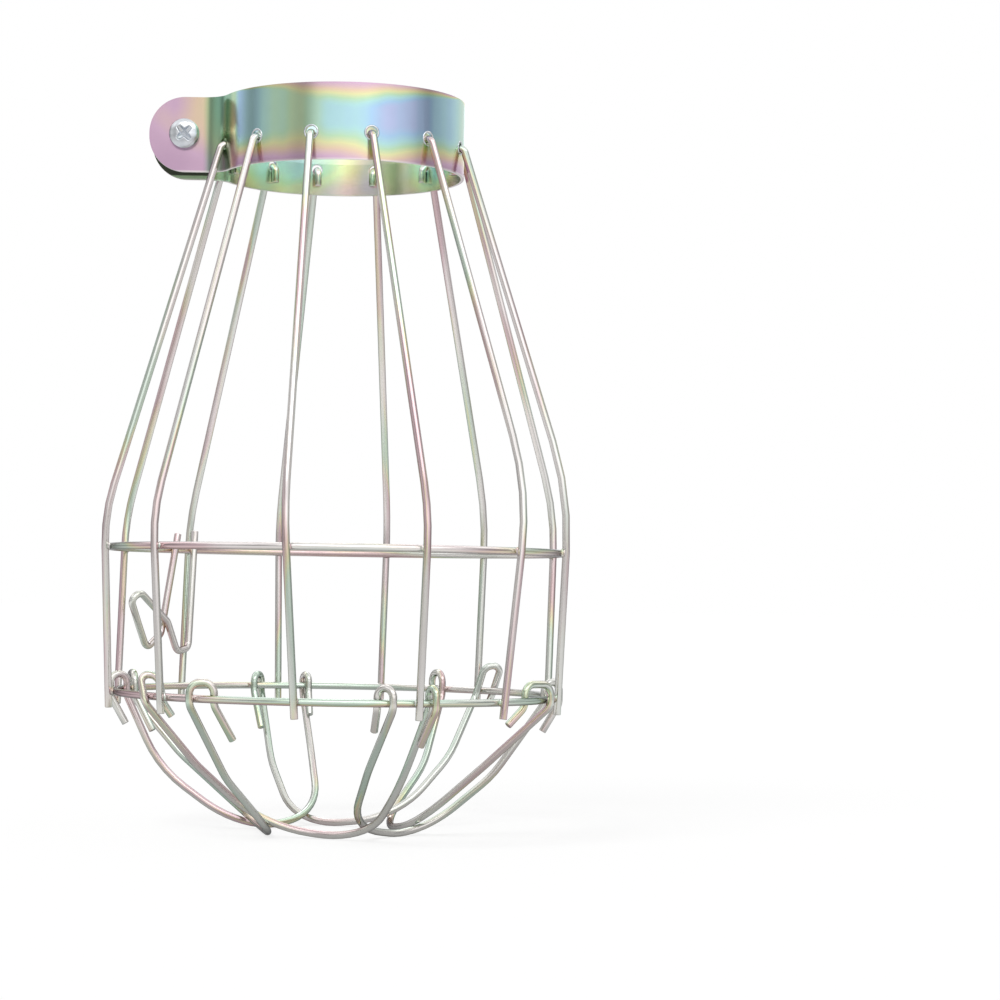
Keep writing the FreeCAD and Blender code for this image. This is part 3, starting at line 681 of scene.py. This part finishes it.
def bow_path(number, left_hook, right_hook):
    """From the tail of the left hook down to the nose and up to the tail of the right hook."""
    even = BOW_FIRST_BEARING + BOW_PITCH * number
    hooks = {-1: left_hook, 1: right_hook}
    legs = {side: even + side * BOW_HALF_SPAN + hook[0] for side, hook in hooks.items()}
    middle = (legs[-1] + legs[1]) / 2
    radius, height = LOWER_RING
    leaves = height - BOW_HOOK_DROP
    lean = math.tan(math.radians(BOW_TAIL_LEAN))
    shift = math.degrees(BOW_HOOK_SHIFT / radius)

    def own(reach, spread, level):
        """A point out along the middle of the bow and sideways from it."""
        return at(reach, middle, level) + at(spread, middle + 90, 0.0)

    def half(side):
        """The corners from the tail of one hook, over the hoop and down the leg to the nose."""
        _, layer, rise_share, shift_share, tail_share, drift_share, lean_share, knee_share = hooks[side]
        leg, tail = legs[side], legs[side] + shift_share * shift
        tail_end = height - tail_share * BOW_TAIL
        hook_top = height + rise_share * BOW_HOOK_RISE
        leg_radius, tail_radius = radius + layer * TOUCHING, radius - layer * TOUCHING
        lift = -side * BOW_LIFT / 2
        return [
            at(tail_radius - lean * (leaves - tail_end), tail + drift_share * shift, tail_end),
            at(tail_radius, tail, leaves),
            at(tail_radius, tail + lean_share * shift, hook_top),
            at(leg_radius, leg + lean_share * shift, hook_top),
            at(leg_radius, leg, leaves),
            own(KNEE[0] * knee_share - lift, side * KNEE[1] * knee_share, KNEE[2] + lift),
            own(NOSE[0], side * NOSE[1], NOSE[2] + lift),
        ]

    bends = [BOW_HOOK_BEND] * 4 + [KNEE_RADIUS, NOSE_RADIUS]
    return bent_path(half(-1) + half(1)[::-1], bends + bends[::-1])


bow_paths = [bow_path(number, *hooks) for number, hooks in enumerate(BOW_HOOKS)]
bows = [
    make_wire(f"bottom_bow_{index + 1}", path, FIRST_BOW_NUMBER + index)
    for index, path in enumerate(bow_paths)
]
print(len(bows), "bows, lowest point", round(min(path[:, 2].min() for path in bow_paths) / MM, 2), "mm")

# %% [markdown]
# The wire clip
#
# Inside the middle hoop, at the back left, hangs a small springy clip: two legs on the hoop, joined below
# by two bends and a finger. It follows the same way of bending as the ribs.

# %% Clip
CLIP_NUMBER = 41
CLIP_BEARING = -130.3
CLIP_SPREAD = 6.5
CLIP_LEG_ABOVE = 3.2 * MM
CLIP_DEPTH = 19.8 * MM
CLIP_FINGER_RISE = 9.7 * MM
CLIP_FINGER_REACH = 26.0
CLIP_BEND = 1.8 * MM
# Each bend: how many wires inside the hoop it lies, and its shares of the finger's reach and rise
CLIP_TURNS = [
    (1, 0.32, 0.3), (1, 0.62, 0.0), (1, 0.8, 0.5), (1, 1.0, 1.0),
    (2, 0.9, 1.15), (2, 0.3, 0.55), (2, 0.14, -0.07),
]


def clip_point(layer, turn, height):
    """A point some wires inside the cone between the two hoops."""
    slope = (MID_RING[0] - LOWER_RING[0]) / (MID_RING[1] - LOWER_RING[1])
    radius = MID_RING[0] - layer * TOUCHING - slope * (MID_RING[1] - height)
    return at(radius, CLIP_BEARING + turn, height)


clip_bottom = MID_RING[1] - CLIP_DEPTH
clip_corners = [clip_point(1, 0, MID_RING[1] + CLIP_LEG_ABOVE)]
clip_corners += [
    clip_point(layer, reach * CLIP_FINGER_REACH, clip_bottom + rise * CLIP_FINGER_RISE)
    for layer, reach, rise in CLIP_TURNS
]
clip_corners.append(clip_point(1, -CLIP_SPREAD / 2, clip_bottom))
clip_corners.append(clip_point(1, -CLIP_SPREAD, MID_RING[1] + CLIP_LEG_ABOVE + SECTION_RADIUS))
clip_path = bent_path(clip_corners, [CLIP_BEND] * (len(clip_corners) - 2))
clip = make_wire("wire_clip", clip_path, CLIP_NUMBER)
print("clip with", len(clip.data.polygons), "faces")

# %% [markdown]
# Spot welds
#
# Where a rib crosses a hoop, two electrodes press the wires together and a little metal squeezes out around
# the contact. Each weld is a flattened, slightly lumpy ball in the corner between the wires. One mesh holds
# them all, because they belong together and are too small to be handled one by one.

# %% Welds
WELD_HALF = np.array([0.80, 0.34, 0.80]) * MM
LATITUDES = np.linspace(0.12, math.pi - 0.12, 9)
LONGITUDES = full_turn(14)


def weld_grid(radius, bearing, height, number):
    """A flattened ball: three half sizes times (sin x cos, cos, sin x sin), swollen by a few slow waves."""
    low, turn = np.meshgrid(LATITUDES, LONGITUDES, indexing="ij")
    lump = 1 + 0.10 * np.sin(3 * turn + 1.7 * number) * np.sin(low) + 0.06 * np.sin(2 * turn + 0.9 * number)
    across = WELD_HALF[0] * np.sin(low) * np.cos(turn) * lump
    outward = WELD_HALF[1] * np.cos(low) * lump
    upward = WELD_HALF[2] * np.sin(low) * np.sin(turn) * lump
    axes = np.stack([at(1.0, bearing + 90, 0.0), at(1.0, bearing, 0.0), at(0.0, bearing, 1.0)])
    return at(radius, bearing, height) + np.stack([across, outward, upward], axis=-1) @ axes


weld_spots = [
    (ring[0] + TOUCHING / 2, even + RIB_SETS[index][which], ring[1])
    for which, ring in ((1, MID_RING), (2, LOWER_RING))
    for index, even in enumerate(EVEN_BEARINGS)
]
weld_spots += [(MID_RING[0] - TOUCHING / 2, CLIP_BEARING + turn, MID_RING[1]) for turn in (0.0, -CLIP_SPREAD)]
weld_grids = [weld_grid(*spot, number) for number, spot in enumerate(weld_spots)]
weld_skin = gather([skin(grid) for grid in weld_grids])
welds = make_piece("spot_welds", *weld_skin, wire_finish, "plated_wire")
write_attribute(welds, "wire_place", weld_skin[0] / MM)
print(len(weld_spots), "spot welds")

# %% [markdown]
# The finish of the collar
#
# The band shows the film best. It is thin at both edges and thick in the middle, so from the lower edge the
# tint runs from lilac over pink, gold and green to cyan and blue, and back again close under the top edge.
# Along the band the middle swings between green and lilac four times, and the thin strip under the top edge
# widens and narrows three times, with some noise so that no two waves are alike. Inside the band the colour
# is painted brighter, as painted light on the inner wall, and its film is pale and patchy: gold at the rim
# and mint above. The ears are a little duller, lilac and then gold towards their bend, and the bend itself
# is painted a darker teal green, as a painted dark reflection in the fold. Their inner faces lie close
# together, so the plating bath left them a dull green, and from just above their lower edge they are painted
# dark, most near that edge, as painted shade in the narrow gap. The lower edge of the band is painted pale,
# as a painted highlight along the edge of the sheet. The colours could be painted on the mesh, but then the
# solid would have to change, so the places are worked out from object coordinates.

# %% Where a point lies on the band
WALL_MIDDLE = (BAND_BORE_RADIUS + 0.35 * MM, BAND_BORE_RADIUS + 0.45 * MM)


def band_places(tree):
    """The position, its parts, its bearing, its share of the height, its radius and a mask of the outside."""
    place = object_place(tree)
    parts = parts_of(tree, place)
    turn = calc(tree, "ARCTAN2", parts["X"], times(tree, parts["Y"], -1.0))
    level = calc(tree, "DIVIDE", calc(tree, "SUBTRACT", parts["Z"], BAND_BOTTOM), BAND_HEIGHT)
    radius = length_of(tree, joined(tree, parts["X"], parts["Y"]))
    return place, parts, turn, level, radius, between(tree, radius, *WALL_MIDDLE)


print("the outside of the band lies at a radius of", round(BAND_FACE / MM, 2), "mm")

# %% Film thickness on the band
FILM_WAVES = 4.0
FILM_CREST = math.radians(28.0)
TOP_WAVES = 3.0
TOP_CREST = math.radians(8.0)
# Where the film changes across the ears, as X
EAR_START = (-19.2 * MM, -20.4 * MM)
EAR_GOLD = (-32.5 * MM, -27.0 * MM)
EAR_BEND = (-27.0 * MM, -23.4 * MM)


def swing(tree, turn, crest, waves):
    """Waves along the band: cos(waves x (turn - crest))."""
    return calc(tree, "COSINE", times(tree, calc(tree, "SUBTRACT", turn, crest), waves))


def band_film(tree, place, parts, turn, level, outer):
    """Height hump times a peak that swings along the band, with patches inside and the ears set apart."""
    wall = times(tree, outer, 0.05)
    drift = noise(tree, joined(tree, parts["X"], parts["Y"], wall), 90.0, detail=2.5)
    ripple = noise(tree, place, 80.0, detail=1.5)
    wave = swing(tree, turn, FILM_CREST, FILM_WAVES)
    peak = calc(tree, "MULTIPLY_ADD", wave, 0.18, calc(tree, "MULTIPLY_ADD", drift, 0.8, 0.33))
    peak = times(tree, peak, calc(tree, "MULTIPLY_ADD", outer, 0.36, 0.64))
    wavy = shaken(tree, level, ripple, 0.22)
    swell = swing(tree, turn, TOP_CREST, TOP_WAVES)
    strip_end = calc(tree, "MULTIPLY_ADD", swell, -0.19, 0.80)
    hem_start = calc(tree, "MULTIPLY_ADD", swell, -0.07, -0.08)
    hump = times(tree, between(tree, wavy, hem_start, 0.47), between(tree, wavy, 1.05, strip_end))
    hem = calc(tree, "MULTIPLY_ADD", outer, -0.21, 0.25)
    lowest = between(tree, level, 0.3, 0.7, hem, 0.11)
    on_band = towards(tree, hump, lowest, peak)
    patches = calc(tree, "SUBTRACT", ripple, between(tree, level, 0.0, 0.4, 0.56, 0.34))
    on_band = calc(tree, "MULTIPLY_ADD", calc(tree, "SUBTRACT", 1.0, outer), patches, on_band)

    gold = between(tree, parts["X"], *EAR_GOLD, 0.09, 0.25)
    on_ear = calc(tree, "ADD", gold, between(tree, parts["X"], *EAR_BEND, 0.0, 0.28))
    on_ear = times(tree, on_ear, between(tree, level, 0.05, 0.80, 0.45, 1.0))
    on_ear = shaken(tree, on_ear, ripple, 0.34)
    return towards(tree, between(tree, parts["X"], *EAR_START), on_band, on_ear)


print("the film swings", int(FILM_WAVES), "times along the band and", int(TOP_WAVES), "times under its edge")

# %% Plated band material
EAR_GAP = (-23.0 * MM, -25.0 * MM)
GAP_HALF = (4.70 * MM, 4.60 * MM)
GAP_FILM = 0.50
# Painted shade on the ears' inner faces in the narrow gap
GAP_PAINTED_SHADE = screen(58, 56, 52)
EAR_DULL = (-24.0 * MM, -26.0 * MM)
FOLD_OUTER = (-26.6 * MM, -25.0 * MM)
FOLD_INNER = (-20.6 * MM, -21.4 * MM)
# Painted dark reflection in the fold beside the ears
FOLD_PAINTED_REFLECTION = screen(98, 158, 134)
# Painted highlight along the lower edge of the sheet
EDGE_PAINTED_HIGHLIGHT = screen(232, 230, 226)
MOST_BRIGHT = (0.97, 0.97, 0.97)


def band_colour(tree, parts, level, outer, thickness, between_ears):
    """The tint, duller on the ears, with painted light: brighter inside, dark fold, gap shade, pale edge."""
    strength = calc(tree, "MULTIPLY_ADD", outer, 0.26, 0.70)
    tint = put(tree, "ShaderNodeGroup", {"Thickness": thickness, "Strength": strength}, node_tree=film)
    dull = between(tree, parts["X"], *EAR_DULL, 0.0, 0.17)
    # Painted light: the colour inside the band is scaled up by 1.46, and the ears are a little duller
    inner_light_and_ear_dull = calc(tree, "SUBTRACT", calc(tree, "MULTIPLY_ADD", outer, -0.46, 1.46), dull)
    scaled = {0: tint.outputs["Colour"], "Scale": inner_light_and_ear_dull}
    bright = put(tree, "ShaderNodeVectorMath", scaled, operation="SCALE").outputs[0]
    capped = put(tree, "ShaderNodeVectorMath", {0: bright, 1: MOST_BRIGHT}, operation="MINIMUM").outputs[0]
    # Painted dark reflection: the fold is mixed 60 % towards a darker teal green
    folded = between(tree, parts["X"], *FOLD_OUTER)
    fold = times(tree, folded, between(tree, parts["X"], *FOLD_INNER))
    colour = mixed(tree, times(tree, fold, 0.6), capped, FOLD_PAINTED_REFLECTION)
    # Painted shade in the gap between the ears, from just above their lower edge, most near that edge
    gap_shade_fade = between(tree, level, 0.7, 0.15, 0.25, 0.9)
    deep = times(tree, between(tree, level, 0.045, 0.065), gap_shade_fade)
    colour = mixed(tree, times(tree, between_ears, deep), colour, GAP_PAINTED_SHADE)
    # Painted highlight: the lowest 3 % of the band's height is mixed towards a pale grey
    edge_highlight = times(tree, between(tree, level, 0.03, 0.0), 0.6)
    return mixed(tree, edge_highlight, colour, EDGE_PAINTED_HIGHLIGHT)


def plated_band():
    """Zinc plated sheet whose film is thin at the edges and thick in the middle of the band."""
    material, tree, shader = new_material("plated band")
    place, parts, turn, level, radius, outer = band_places(tree)
    in_gap = between(tree, calc(tree, "ABSOLUTE", parts["Y"]), *GAP_HALF)
    between_ears = times(tree, between(tree, parts["X"], *EAR_GAP), in_gap)
    thickness = towards(tree, between_ears, band_film(tree, place, parts, turn, level, outer), GAP_FILM)
    colour = band_colour(tree, parts, level, outer, thickness, between_ears)
    around = times(tree, turn, BAND_FACE / MM)
    upward = times(tree, level, BAND_HEIGHT / MM)
    outward = calc(tree, "DIVIDE", radius, MM)
    marks = handled(tree, joined(tree, around, upward, outward), smooth=0.14, worn=0.28)
    rough = calc(tree, "MULTIPLY_ADD", between_ears, 0.45, marks["Roughness"])
    finish_metal(tree, shader, colour, rough, marks["Height"], relief=0.06, depth=0.02 * MM)
    return material


band_finish = plated_band()
nodes["collar_band"].data.materials.clear()
nodes["collar_band"].data.materials.append(band_finish)
print("the collar keeps its solid and gets", band_finish.name)

# %% [markdown]
# Bright zinc
#
# The screw and nut are plated without the tinted film, and the lips of the rib holes are rubbed bare by the
# wires. Both are a clear, slightly blue zinc with fine scratches. One material serves all of them.

# %% Bright zinc material
def bright_zinc():
    """Clear zinc with fine scratches, darker in soft random patches and duller in smudges."""
    material, tree, shader = new_material("bright zinc")
    place = stretched(tree, object_place(tree), (1 / MM, 1 / MM, 1 / MM))
    cloud = noise(tree, place, 0.9, detail=4.0)
    colour = mixed(tree, cloud, screen(198, 204, 212), screen(240, 242, 244))
    marks = handled(tree, place, smooth=0.14, worn=0.30)
    finish_metal(tree, shader, colour, marks["Roughness"], marks["Height"], relief=0.25, depth=0.03 * MM)
    return material


zinc_finish = bright_zinc()
print("made", zinc_finish.name)

# %% [markdown]
# Punched holes
#
# A punch pushes through the band from outside, so each rib hole has a soft, rolled lip on its outer face.
# The lip is a low half-round profile carried around the hole and wrapped on the band's cylinder. The first
# hole lies in the bend beside the ear, where the sheet is folded and no lip is left.

# %% Hole lips
HOLE_RADIUS = 1.1 * MM
HOLE_HEIGHT = HOOK_HEIGHT + 0.15 * MM
LIP_WIDTH = 0.40 * MM
LIP_RISE = 0.13 * MM
LIP_OVERLAP = 0.06 * MM
LIP_SINK = -0.6


def lip_grid(hole_bearing):
    """Around the hole by one parameter and over the lip by the other, as a half ellipse sunk into the band.

    The distance from the hole's middle is hole radius - overlap + width x share, the height over the face
    is rise x sin(pi x share), and the sideways distance becomes a bearing on the band's cylinder.
    """
    turn = full_turn(28)
    share = np.concatenate([np.linspace(0, 1, 7), np.linspace(1, 0, 5)[1:-1]])
    lift = np.concatenate([np.sin(np.linspace(0, math.pi, 7)), np.full(3, LIP_SINK)])
    reach = HOLE_RADIUS - LIP_OVERLAP + LIP_WIDTH * share
    sideways = reach[None] * np.cos(turn)[:, None]
    height = HOLE_HEIGHT + reach[None] * np.sin(turn)[:, None]
    radius = BAND_FACE + LIP_RISE * lift[None] + np.zeros_like(sideways)
    bearing = math.radians(hole_bearing) + sideways / BAND_FACE
    return np.stack([radius * np.sin(bearing), -radius * np.cos(bearing), height], axis=-1)


lip_parts = [skin(lip_grid(bearing), closed_path=True) for bearing in HOLE_BEARINGS[1:]]
make_piece("rib_hole_lips", *gather(lip_parts), zinc_finish, "bright_screw")
print(len(lip_parts), "hole lips")

# %% [markdown]
# The clamp screw
#
# A small pan-head screw draws the two ears together. Its head has a cross recess, and its shank carries a
# thread that shows between the ears. The head could be modelled with booleans. A height over a polar grid
# gives the same recess with soft edges and fewer faces.

# %% Screw head and thread
SCREW_X = -30.0 * MM
SCREW_Z = BAND_BOTTOM + BAND_HEIGHT / 2
EAR_INNER_FACE = 4.5 * MM
EAR_FACE = -(EAR_INNER_FACE + BAND_THICKNESS)
HEAD_RADIUS = 2.9 * MM
HEAD_HEIGHT = 2.3 * MM
HEAD_RIM = 1.1 * MM
RECESS_REACH = 1.75 * MM
RECESS_HALF = 0.42 * MM
RECESS_DEPTH = 1.6 * MM
RECESS_WALL = 0.30 * MM
RECESS_TURN = math.radians(42.0)
RECESS_ZONE = 0.72
SHANK_RADIUS = 1.5 * MM
SHANK_LENGTH = 14.0 * MM
THREAD_PITCH = 0.5 * MM
THREAD_DEPTH = 0.3 * MM
THREAD_RUN_OUT = 0.6 * MM


def on_screw_line(across, upward, forward):
    """Head coordinates to the guard: forward points to the front, away from the ear's face."""
    return np.stack([SCREW_X + across, EAR_FACE - forward, SCREW_Z + upward], axis=-1)


def recess_depth(across, upward):
    """How deep the cross is at a point: two crossing wings that rise from the middle to their ends."""
    first = across * math.cos(RECESS_TURN) + upward * math.sin(RECESS_TURN)
    second = upward * math.cos(RECESS_TURN) - across * math.sin(RECESS_TURN)

    def wing(along, side):
        """A smooth step across the wing times a floor that rises towards its end."""
        half = RECESS_HALF * (1.35 - 0.6 * np.abs(along) / RECESS_REACH)
        wall = np.clip((half - np.abs(side)) / RECESS_WALL + 0.5, 0, 1)
        end = np.clip(1 - np.abs(along) / RECESS_REACH, 0, 1)
        return wall * wall * (3 - 2 * wall) * end**0.8

    return RECESS_DEPTH * np.maximum(wing(first, second), wing(second, first))


def screw_head():
    """A dome over a polar grid, less the recess, down a straight rim to the ear.

    The dome's height is rim + (height - rim) x sqrt(1 - share squared), where share runs over the radius.
    """
    turn = full_turn(96)
    outer_zone = np.sin(np.linspace(math.asin(RECESS_ZONE), math.pi / 2, 12))[1:]
    share = np.concatenate([np.linspace(0.02, RECESS_ZONE, 34), outer_zone])
    reach = HEAD_RADIUS * share[:, None] * np.ones_like(turn)
    across, upward = reach * np.cos(turn), reach * np.sin(turn)
    dome = HEAD_RIM + (HEAD_HEIGHT - HEAD_RIM) * np.sqrt(np.clip(1 - share**2, 0, 1))[:, None]
    top = on_screw_line(across, upward, dome - recess_depth(across, upward))
    rim = np.array([0.7, 0.3, 0.08, 0.0])[:, None] * HEAD_RIM + np.zeros_like(turn)
    pull = np.array([1.0, 1.0, 0.985, 0.95])[:, None] * HEAD_RADIUS
    side = on_screw_line(pull * np.cos(turn), pull * np.sin(turn), rim)
    return np.concatenate([top, side])


def screw_thread():
    """A cylinder whose radius falls and rises once per pitch, as a rounded V that winds around the axis."""
    turn = full_turn(36)
    depth = np.arange(0, SHANK_LENGTH + 1e-9, THREAD_PITCH / 6)
    phase = depth[:, None] / THREAD_PITCH - turn[None] / (2 * math.pi)
    groove = np.abs(2 * (phase - np.floor(phase)) - 1)
    run_out = np.clip((SHANK_LENGTH - depth) / THREAD_RUN_OUT, 0, 1)[:, None]
    radius = (SHANK_RADIUS - THREAD_DEPTH * groove) * (0.75 + 0.25 * run_out)
    forward = np.broadcast_to(-depth[:, None], radius.shape)
    return on_screw_line(radius * np.cos(turn), radius * np.sin(turn), forward)


screw_parts = [skin(screw_head()[::-1]), skin(screw_thread())]
screw = make_piece("clamp_screw_cut", *gather(screw_parts), zinc_finish, "bright_screw", ["clamp_screw"])
print("screw with", len(screw.data.polygons), "faces")

# %% [markdown]
# The nut
#
# Behind the rear ear sits a hexagon nut. A hexagon whose corners are cut back by a cone is a grid too: one
# parameter goes round, the other follows the outline from the bore over the top face, down the flats and
# back to the bore.

# %% Nut
NUT_HALF_WIDTH = 2.75 * MM
NUT_HEIGHT = 2.4 * MM
NUT_BORE = 1.55 * MM
NUT_FACE = -EAR_FACE
NUT_CHAMFER = 0.5 * MM


def nut_grid():
    """A radius and a height for each point of the outline; the hexagon's radius is half width / cos(turn).

    The cone of the chamfer leaves the half width at each face and the corner's radius NUT_CHAMFER below it.
    """
    turn = full_turn(72)
    hexagon = NUT_HALF_WIDTH / np.cos((turn + math.pi / 6) % (math.pi / 3) - math.pi / 6)
    heights = np.concatenate([[0.35, 0.12, 0.0, 0.0], np.linspace(0.0, 2.4, 15), [2.4, 2.4, 2.28, 2.05]]) * MM
    depth = np.minimum(heights, NUT_HEIGHT - heights)
    corner = NUT_HALF_WIDTH / math.cos(math.pi / 6)
    cone = NUT_HALF_WIDTH + (corner - NUT_HALF_WIDTH) * np.clip(depth / NUT_CHAMFER, 0, 1)
    radius = np.minimum(hexagon[None], cone[:, None])
    bore = np.array([1.0, 1.03, 1.15, 1.4])[:, None] * NUT_BORE + np.zeros_like(hexagon)
    radius[:4] = bore
    radius[-4:] = bore[::-1]
    backward = NUT_FACE + heights[:, None] + np.zeros_like(radius)
    return np.stack([SCREW_X + radius * np.cos(turn), backward, SCREW_Z + radius * np.sin(turn)], axis=-1)


nut_skin = skin(nut_grid().transpose(1, 0, 2), closed_path=True)
nut = make_piece("clamp_nut_cut", *nut_skin, zinc_finish, "bright_screw", ["clamp_nut"])
print("nut with", len(nut.data.polygons), "faces")

# %% [markdown]
# Floor, surroundings and lamps
#
# Metal shows what stands around it, so lamps alone would leave it dull. The guard stands on a plain white
# floor in white surroundings, which keeps it pale. A wide ring of boards, which only reflections see, is
# bright to the right of the camera, half as bright to its left and dark on both sides, with one narrow bright
# strip straight behind the guard for the inside of the collar. From the floor up it is dim, bright, dim again
# and brightest above. This gives the wires their dark flanks and bright lines, and the collar its soft
# upright bands. The floor adds white of its own. Reflections see less of it, and least under the guard, so
# the floor looks white, keeps a soft shadow, and leaves some shade on the lowest wires.

# %% Floor
WHITE = (1, 1, 1, 1)
FLOOR_GREY = (0.3, 0.3, 0.3, 1.0)
FLOOR_OWN_LIGHT = 0.735
# From one distance to another, in metres, and the share of the floor's light at each
UNDER_GUARD = (0.05, 0.11, 0.42, 1.0)
FAR_OFF = (0.22, 0.40, 0.80, 0.50)
FLOOR_REACH = 6.0
FLOOR_CORNERS = np.array([[-1, -1, 0], [1, -1, 0], [1, 1, 0], [-1, 1, 0]]) * FLOOR_REACH


def seen_white(tree, in_metal=1.0):
    """One for camera and transmission rays, in_metal for glossy rays, and nought for the rest."""
    rays = put(tree, "ShaderNodeLightPath").outputs
    seen = calc(tree, "MULTIPLY_ADD", rays["Is Glossy Ray"], in_metal, rays["Is Camera Ray"])
    return calc(tree, "ADD", seen, rays["Is Transmission Ray"], clamp=True)


def bare_material(name):
    """A material with an empty node tree."""
    material, tree, _ = new_material(name)
    tree.nodes.clear()
    return material, tree


def floor_material():
    """A diffuse grey for the shadow, and white light of its own where it is seen.

    In reflections that light is weak under the guard, strongest a hand's breadth from it, and weaker beyond.
    """
    material, tree = bare_material("pale floor")
    matt = put(tree, "ShaderNodeBsdfDiffuse", {"Color": FLOOR_GREY})
    away = length_of(tree, object_place(tree))
    in_metal = times(tree, between(tree, away, *UNDER_GUARD), between(tree, away, *FAR_OFF))
    strength = times(tree, seen_white(tree, in_metal), FLOOR_OWN_LIGHT)
    own = put(tree, "ShaderNodeEmission", {"Color": WHITE, "Strength": strength})
    both = put(tree, "ShaderNodeAddShader", {0: matt.outputs[0], 1: own.outputs[0]})
    put(tree, "ShaderNodeOutputMaterial", {"Surface": both.outputs[0]})
    return material


def stage_piece(name, points, quads, material):
    """A mesh that is part of the stage, not of the guard."""
    piece = place_object(name, array_mesh(name, points, quads, NO_TRIANGLES, material))
    return piece


floor_height = np.array([0, 0, cad_box[0][2]])
stage_piece("floor", FLOOR_CORNERS + floor_height, np.array([[0, 1, 2, 3]]), floor_material())
print("floor at height", round(cad_box[0][2] / MM, 2), "mm")

# %% White surroundings
SOFT_LIGHT = 0.6

world = bpy.data.worlds.new("white surroundings")
bpy.context.scene.world = world
world.use_nodes = True
sky = world.node_tree
sky.nodes.clear()
plain = put(sky, "ShaderNodeBackground", {"Color": WHITE, "Strength": SOFT_LIGHT})
white = put(sky, "ShaderNodeBackground", {"Color": WHITE, "Strength": 1.0})
choice = {0: seen_white(sky), 1: plain.outputs[0], 2: white.outputs[0]}
seen = put(sky, "ShaderNodeMixShader", choice)
put(sky, "ShaderNodeOutputWorld", {"Surface": seen.outputs[0]})
print("world is white where it is seen")

# %% Ring of boards
BOARD_RADIUS = 1.6
BOARD_COLUMNS = 240
BOARD_HEIGHTS = np.array([0.0, 0.1, 0.2, 0.3, 0.4, 0.5, 0.6, 0.75, 0.9, 1.05, 1.2, 1.6, 2.2])
# Heights in metres and bearings in degrees, each with its factor
BOARD_RISE = [
    (0.0, 0.62), (0.2, 0.82), (0.4, 1.0), (0.5, 1.0), (0.75, 0.7), (0.9, 0.7), (1.2, 1.65), (2.2, 1.8),
]
BOARD_TONES = [
    (-142, 0.90), (-114, 0.98), (-104, 0.60), (-94, 0.32), (-83, 0.62), (-71, 0.76), (-52, 0.68), (-38, 0.46),
    (-31, 0.62), (-23, 1.10), (-7, 1.24), (23, 1.42), (40, 1.26), (54, 1.10), (67, 0.90), (77, 0.58),
    (87, 0.40), (98, 0.60), (112, 0.74), (130, 0.90), (160, 0.95), (180, 2.5), (200, 0.95),
]
BACK_SHADE = 0.35
BACK_START = 80
BACK_SPAN = 40
BACK_HEIGHT = 0.4


def board_tones(bearings, heights):
    """The tone at a bearing times the rise at a height, each taken between its listed values.

    From BACK_START on to either side, the lowest part grows darker, by up to BACK_SHADE after BACK_SPAN.
    """
    tone = np.interp(bearings, *np.transpose(BOARD_TONES), period=360)
    rise = np.interp(heights, *np.transpose(BOARD_RISE))
    behind = np.clip((np.abs(bearings) - BACK_START) / BACK_SPAN, 0, 1)
    low = np.clip(1 - heights / BACK_HEIGHT, 0, 1) ** 0.5
    return tone * rise[:, None] * (1 - BACK_SHADE * behind * low[:, None])


def board_material():
    """Light as strong as the tone that is stored in the mesh."""
    material, tree = bare_material("boards")
    tone = put(tree, "ShaderNodeAttribute", attribute_name="tone").outputs["Fac"]
    own = put(tree, "ShaderNodeEmission", {"Color": WHITE, "Strength": tone})
    put(tree, "ShaderNodeOutputMaterial", {"Surface": own.outputs[0]})
    return material


board_bearings = np.linspace(-180, 180, BOARD_COLUMNS, endpoint=False)
board_turns = np.radians(board_bearings)
ring_shape = (len(BOARD_HEIGHTS), len(board_bearings))
ring_points = np.stack([
    np.broadcast_to(BOARD_RADIUS * np.sin(board_turns), ring_shape),
    np.broadcast_to(-BOARD_RADIUS * np.cos(board_turns), ring_shape),
    np.broadcast_to(BOARD_HEIGHTS[:, None], ring_shape),
], axis=-1)
ring_number = np.arange(ring_points.size // 3).reshape(ring_shape)
ring_quads = strips(ring_number[:-1], ring_number[1:])
boards = stage_piece("boards", ring_points.reshape(-1, 3), ring_quads, board_material())
ring_tones = board_tones(board_bearings, BOARD_HEIGHTS)
tone_layer = boards.data.attributes.new("tone", "FLOAT", "POINT")
tone_layer.data.foreach_set("value", ring_tones.astype(np.float32).ravel())
boards.visible_camera = False
boards.visible_diffuse = False
boards.visible_transmission = False
boards.visible_shadow = False
print("boards with tones from", round(float(ring_tones.min()), 2), "to", round(float(ring_tones.max()), 2))

# %% Lamp
SUN_TILT = math.radians(38.0)
SUN_LEAN = math.radians(-24.0)

shade_light = bpy.data.lights.new("soft_sun", "SUN")
shade_light.energy = 1.3
shade_light.angle = math.radians(25.0)
shade_lamp = place_object("soft_sun", shade_light)
shade_lamp.matrix_world = Matrix.Rotation(SUN_TILT, 4, "X") @ Matrix.Rotation(SUN_LEAN, 4, "Y")
shade_lamp.visible_glossy = False
print("a wide soft lamp from the upper left throws the shadow")

# %% [markdown]
# The camera
#
# The picture was taken from straight in front, a little below the middle of the guard, through a long lens.
# The guard stands left of the picture's middle, which the lens shift gives without turning the camera. It
# also leans by about one degree there, so the camera is rolled by as much.

# %% Camera
CAMERA_PLACE = (0.0, -0.514, 0.047)
CAMERA_ROLL = math.radians(0.95)

lens = bpy.data.cameras.new("camera")
lens.lens = 96.4
lens.sensor_width = 36.0
lens.shift_x = 0.165
lens.shift_y = 0.089
lens.clip_start = 0.01
camera = place_object("camera", lens)
aim = Matrix.Rotation(math.pi / 2, 4, "X") @ Matrix.Rotation(CAMERA_ROLL, 4, "Z")
camera.matrix_world = Matrix.Translation(CAMERA_PLACE) @ aim
bpy.context.scene.camera = camera
bpy.context.scene.view_settings.view_transform = "Standard"
print("camera", round(lens.lens, 1), "mm")
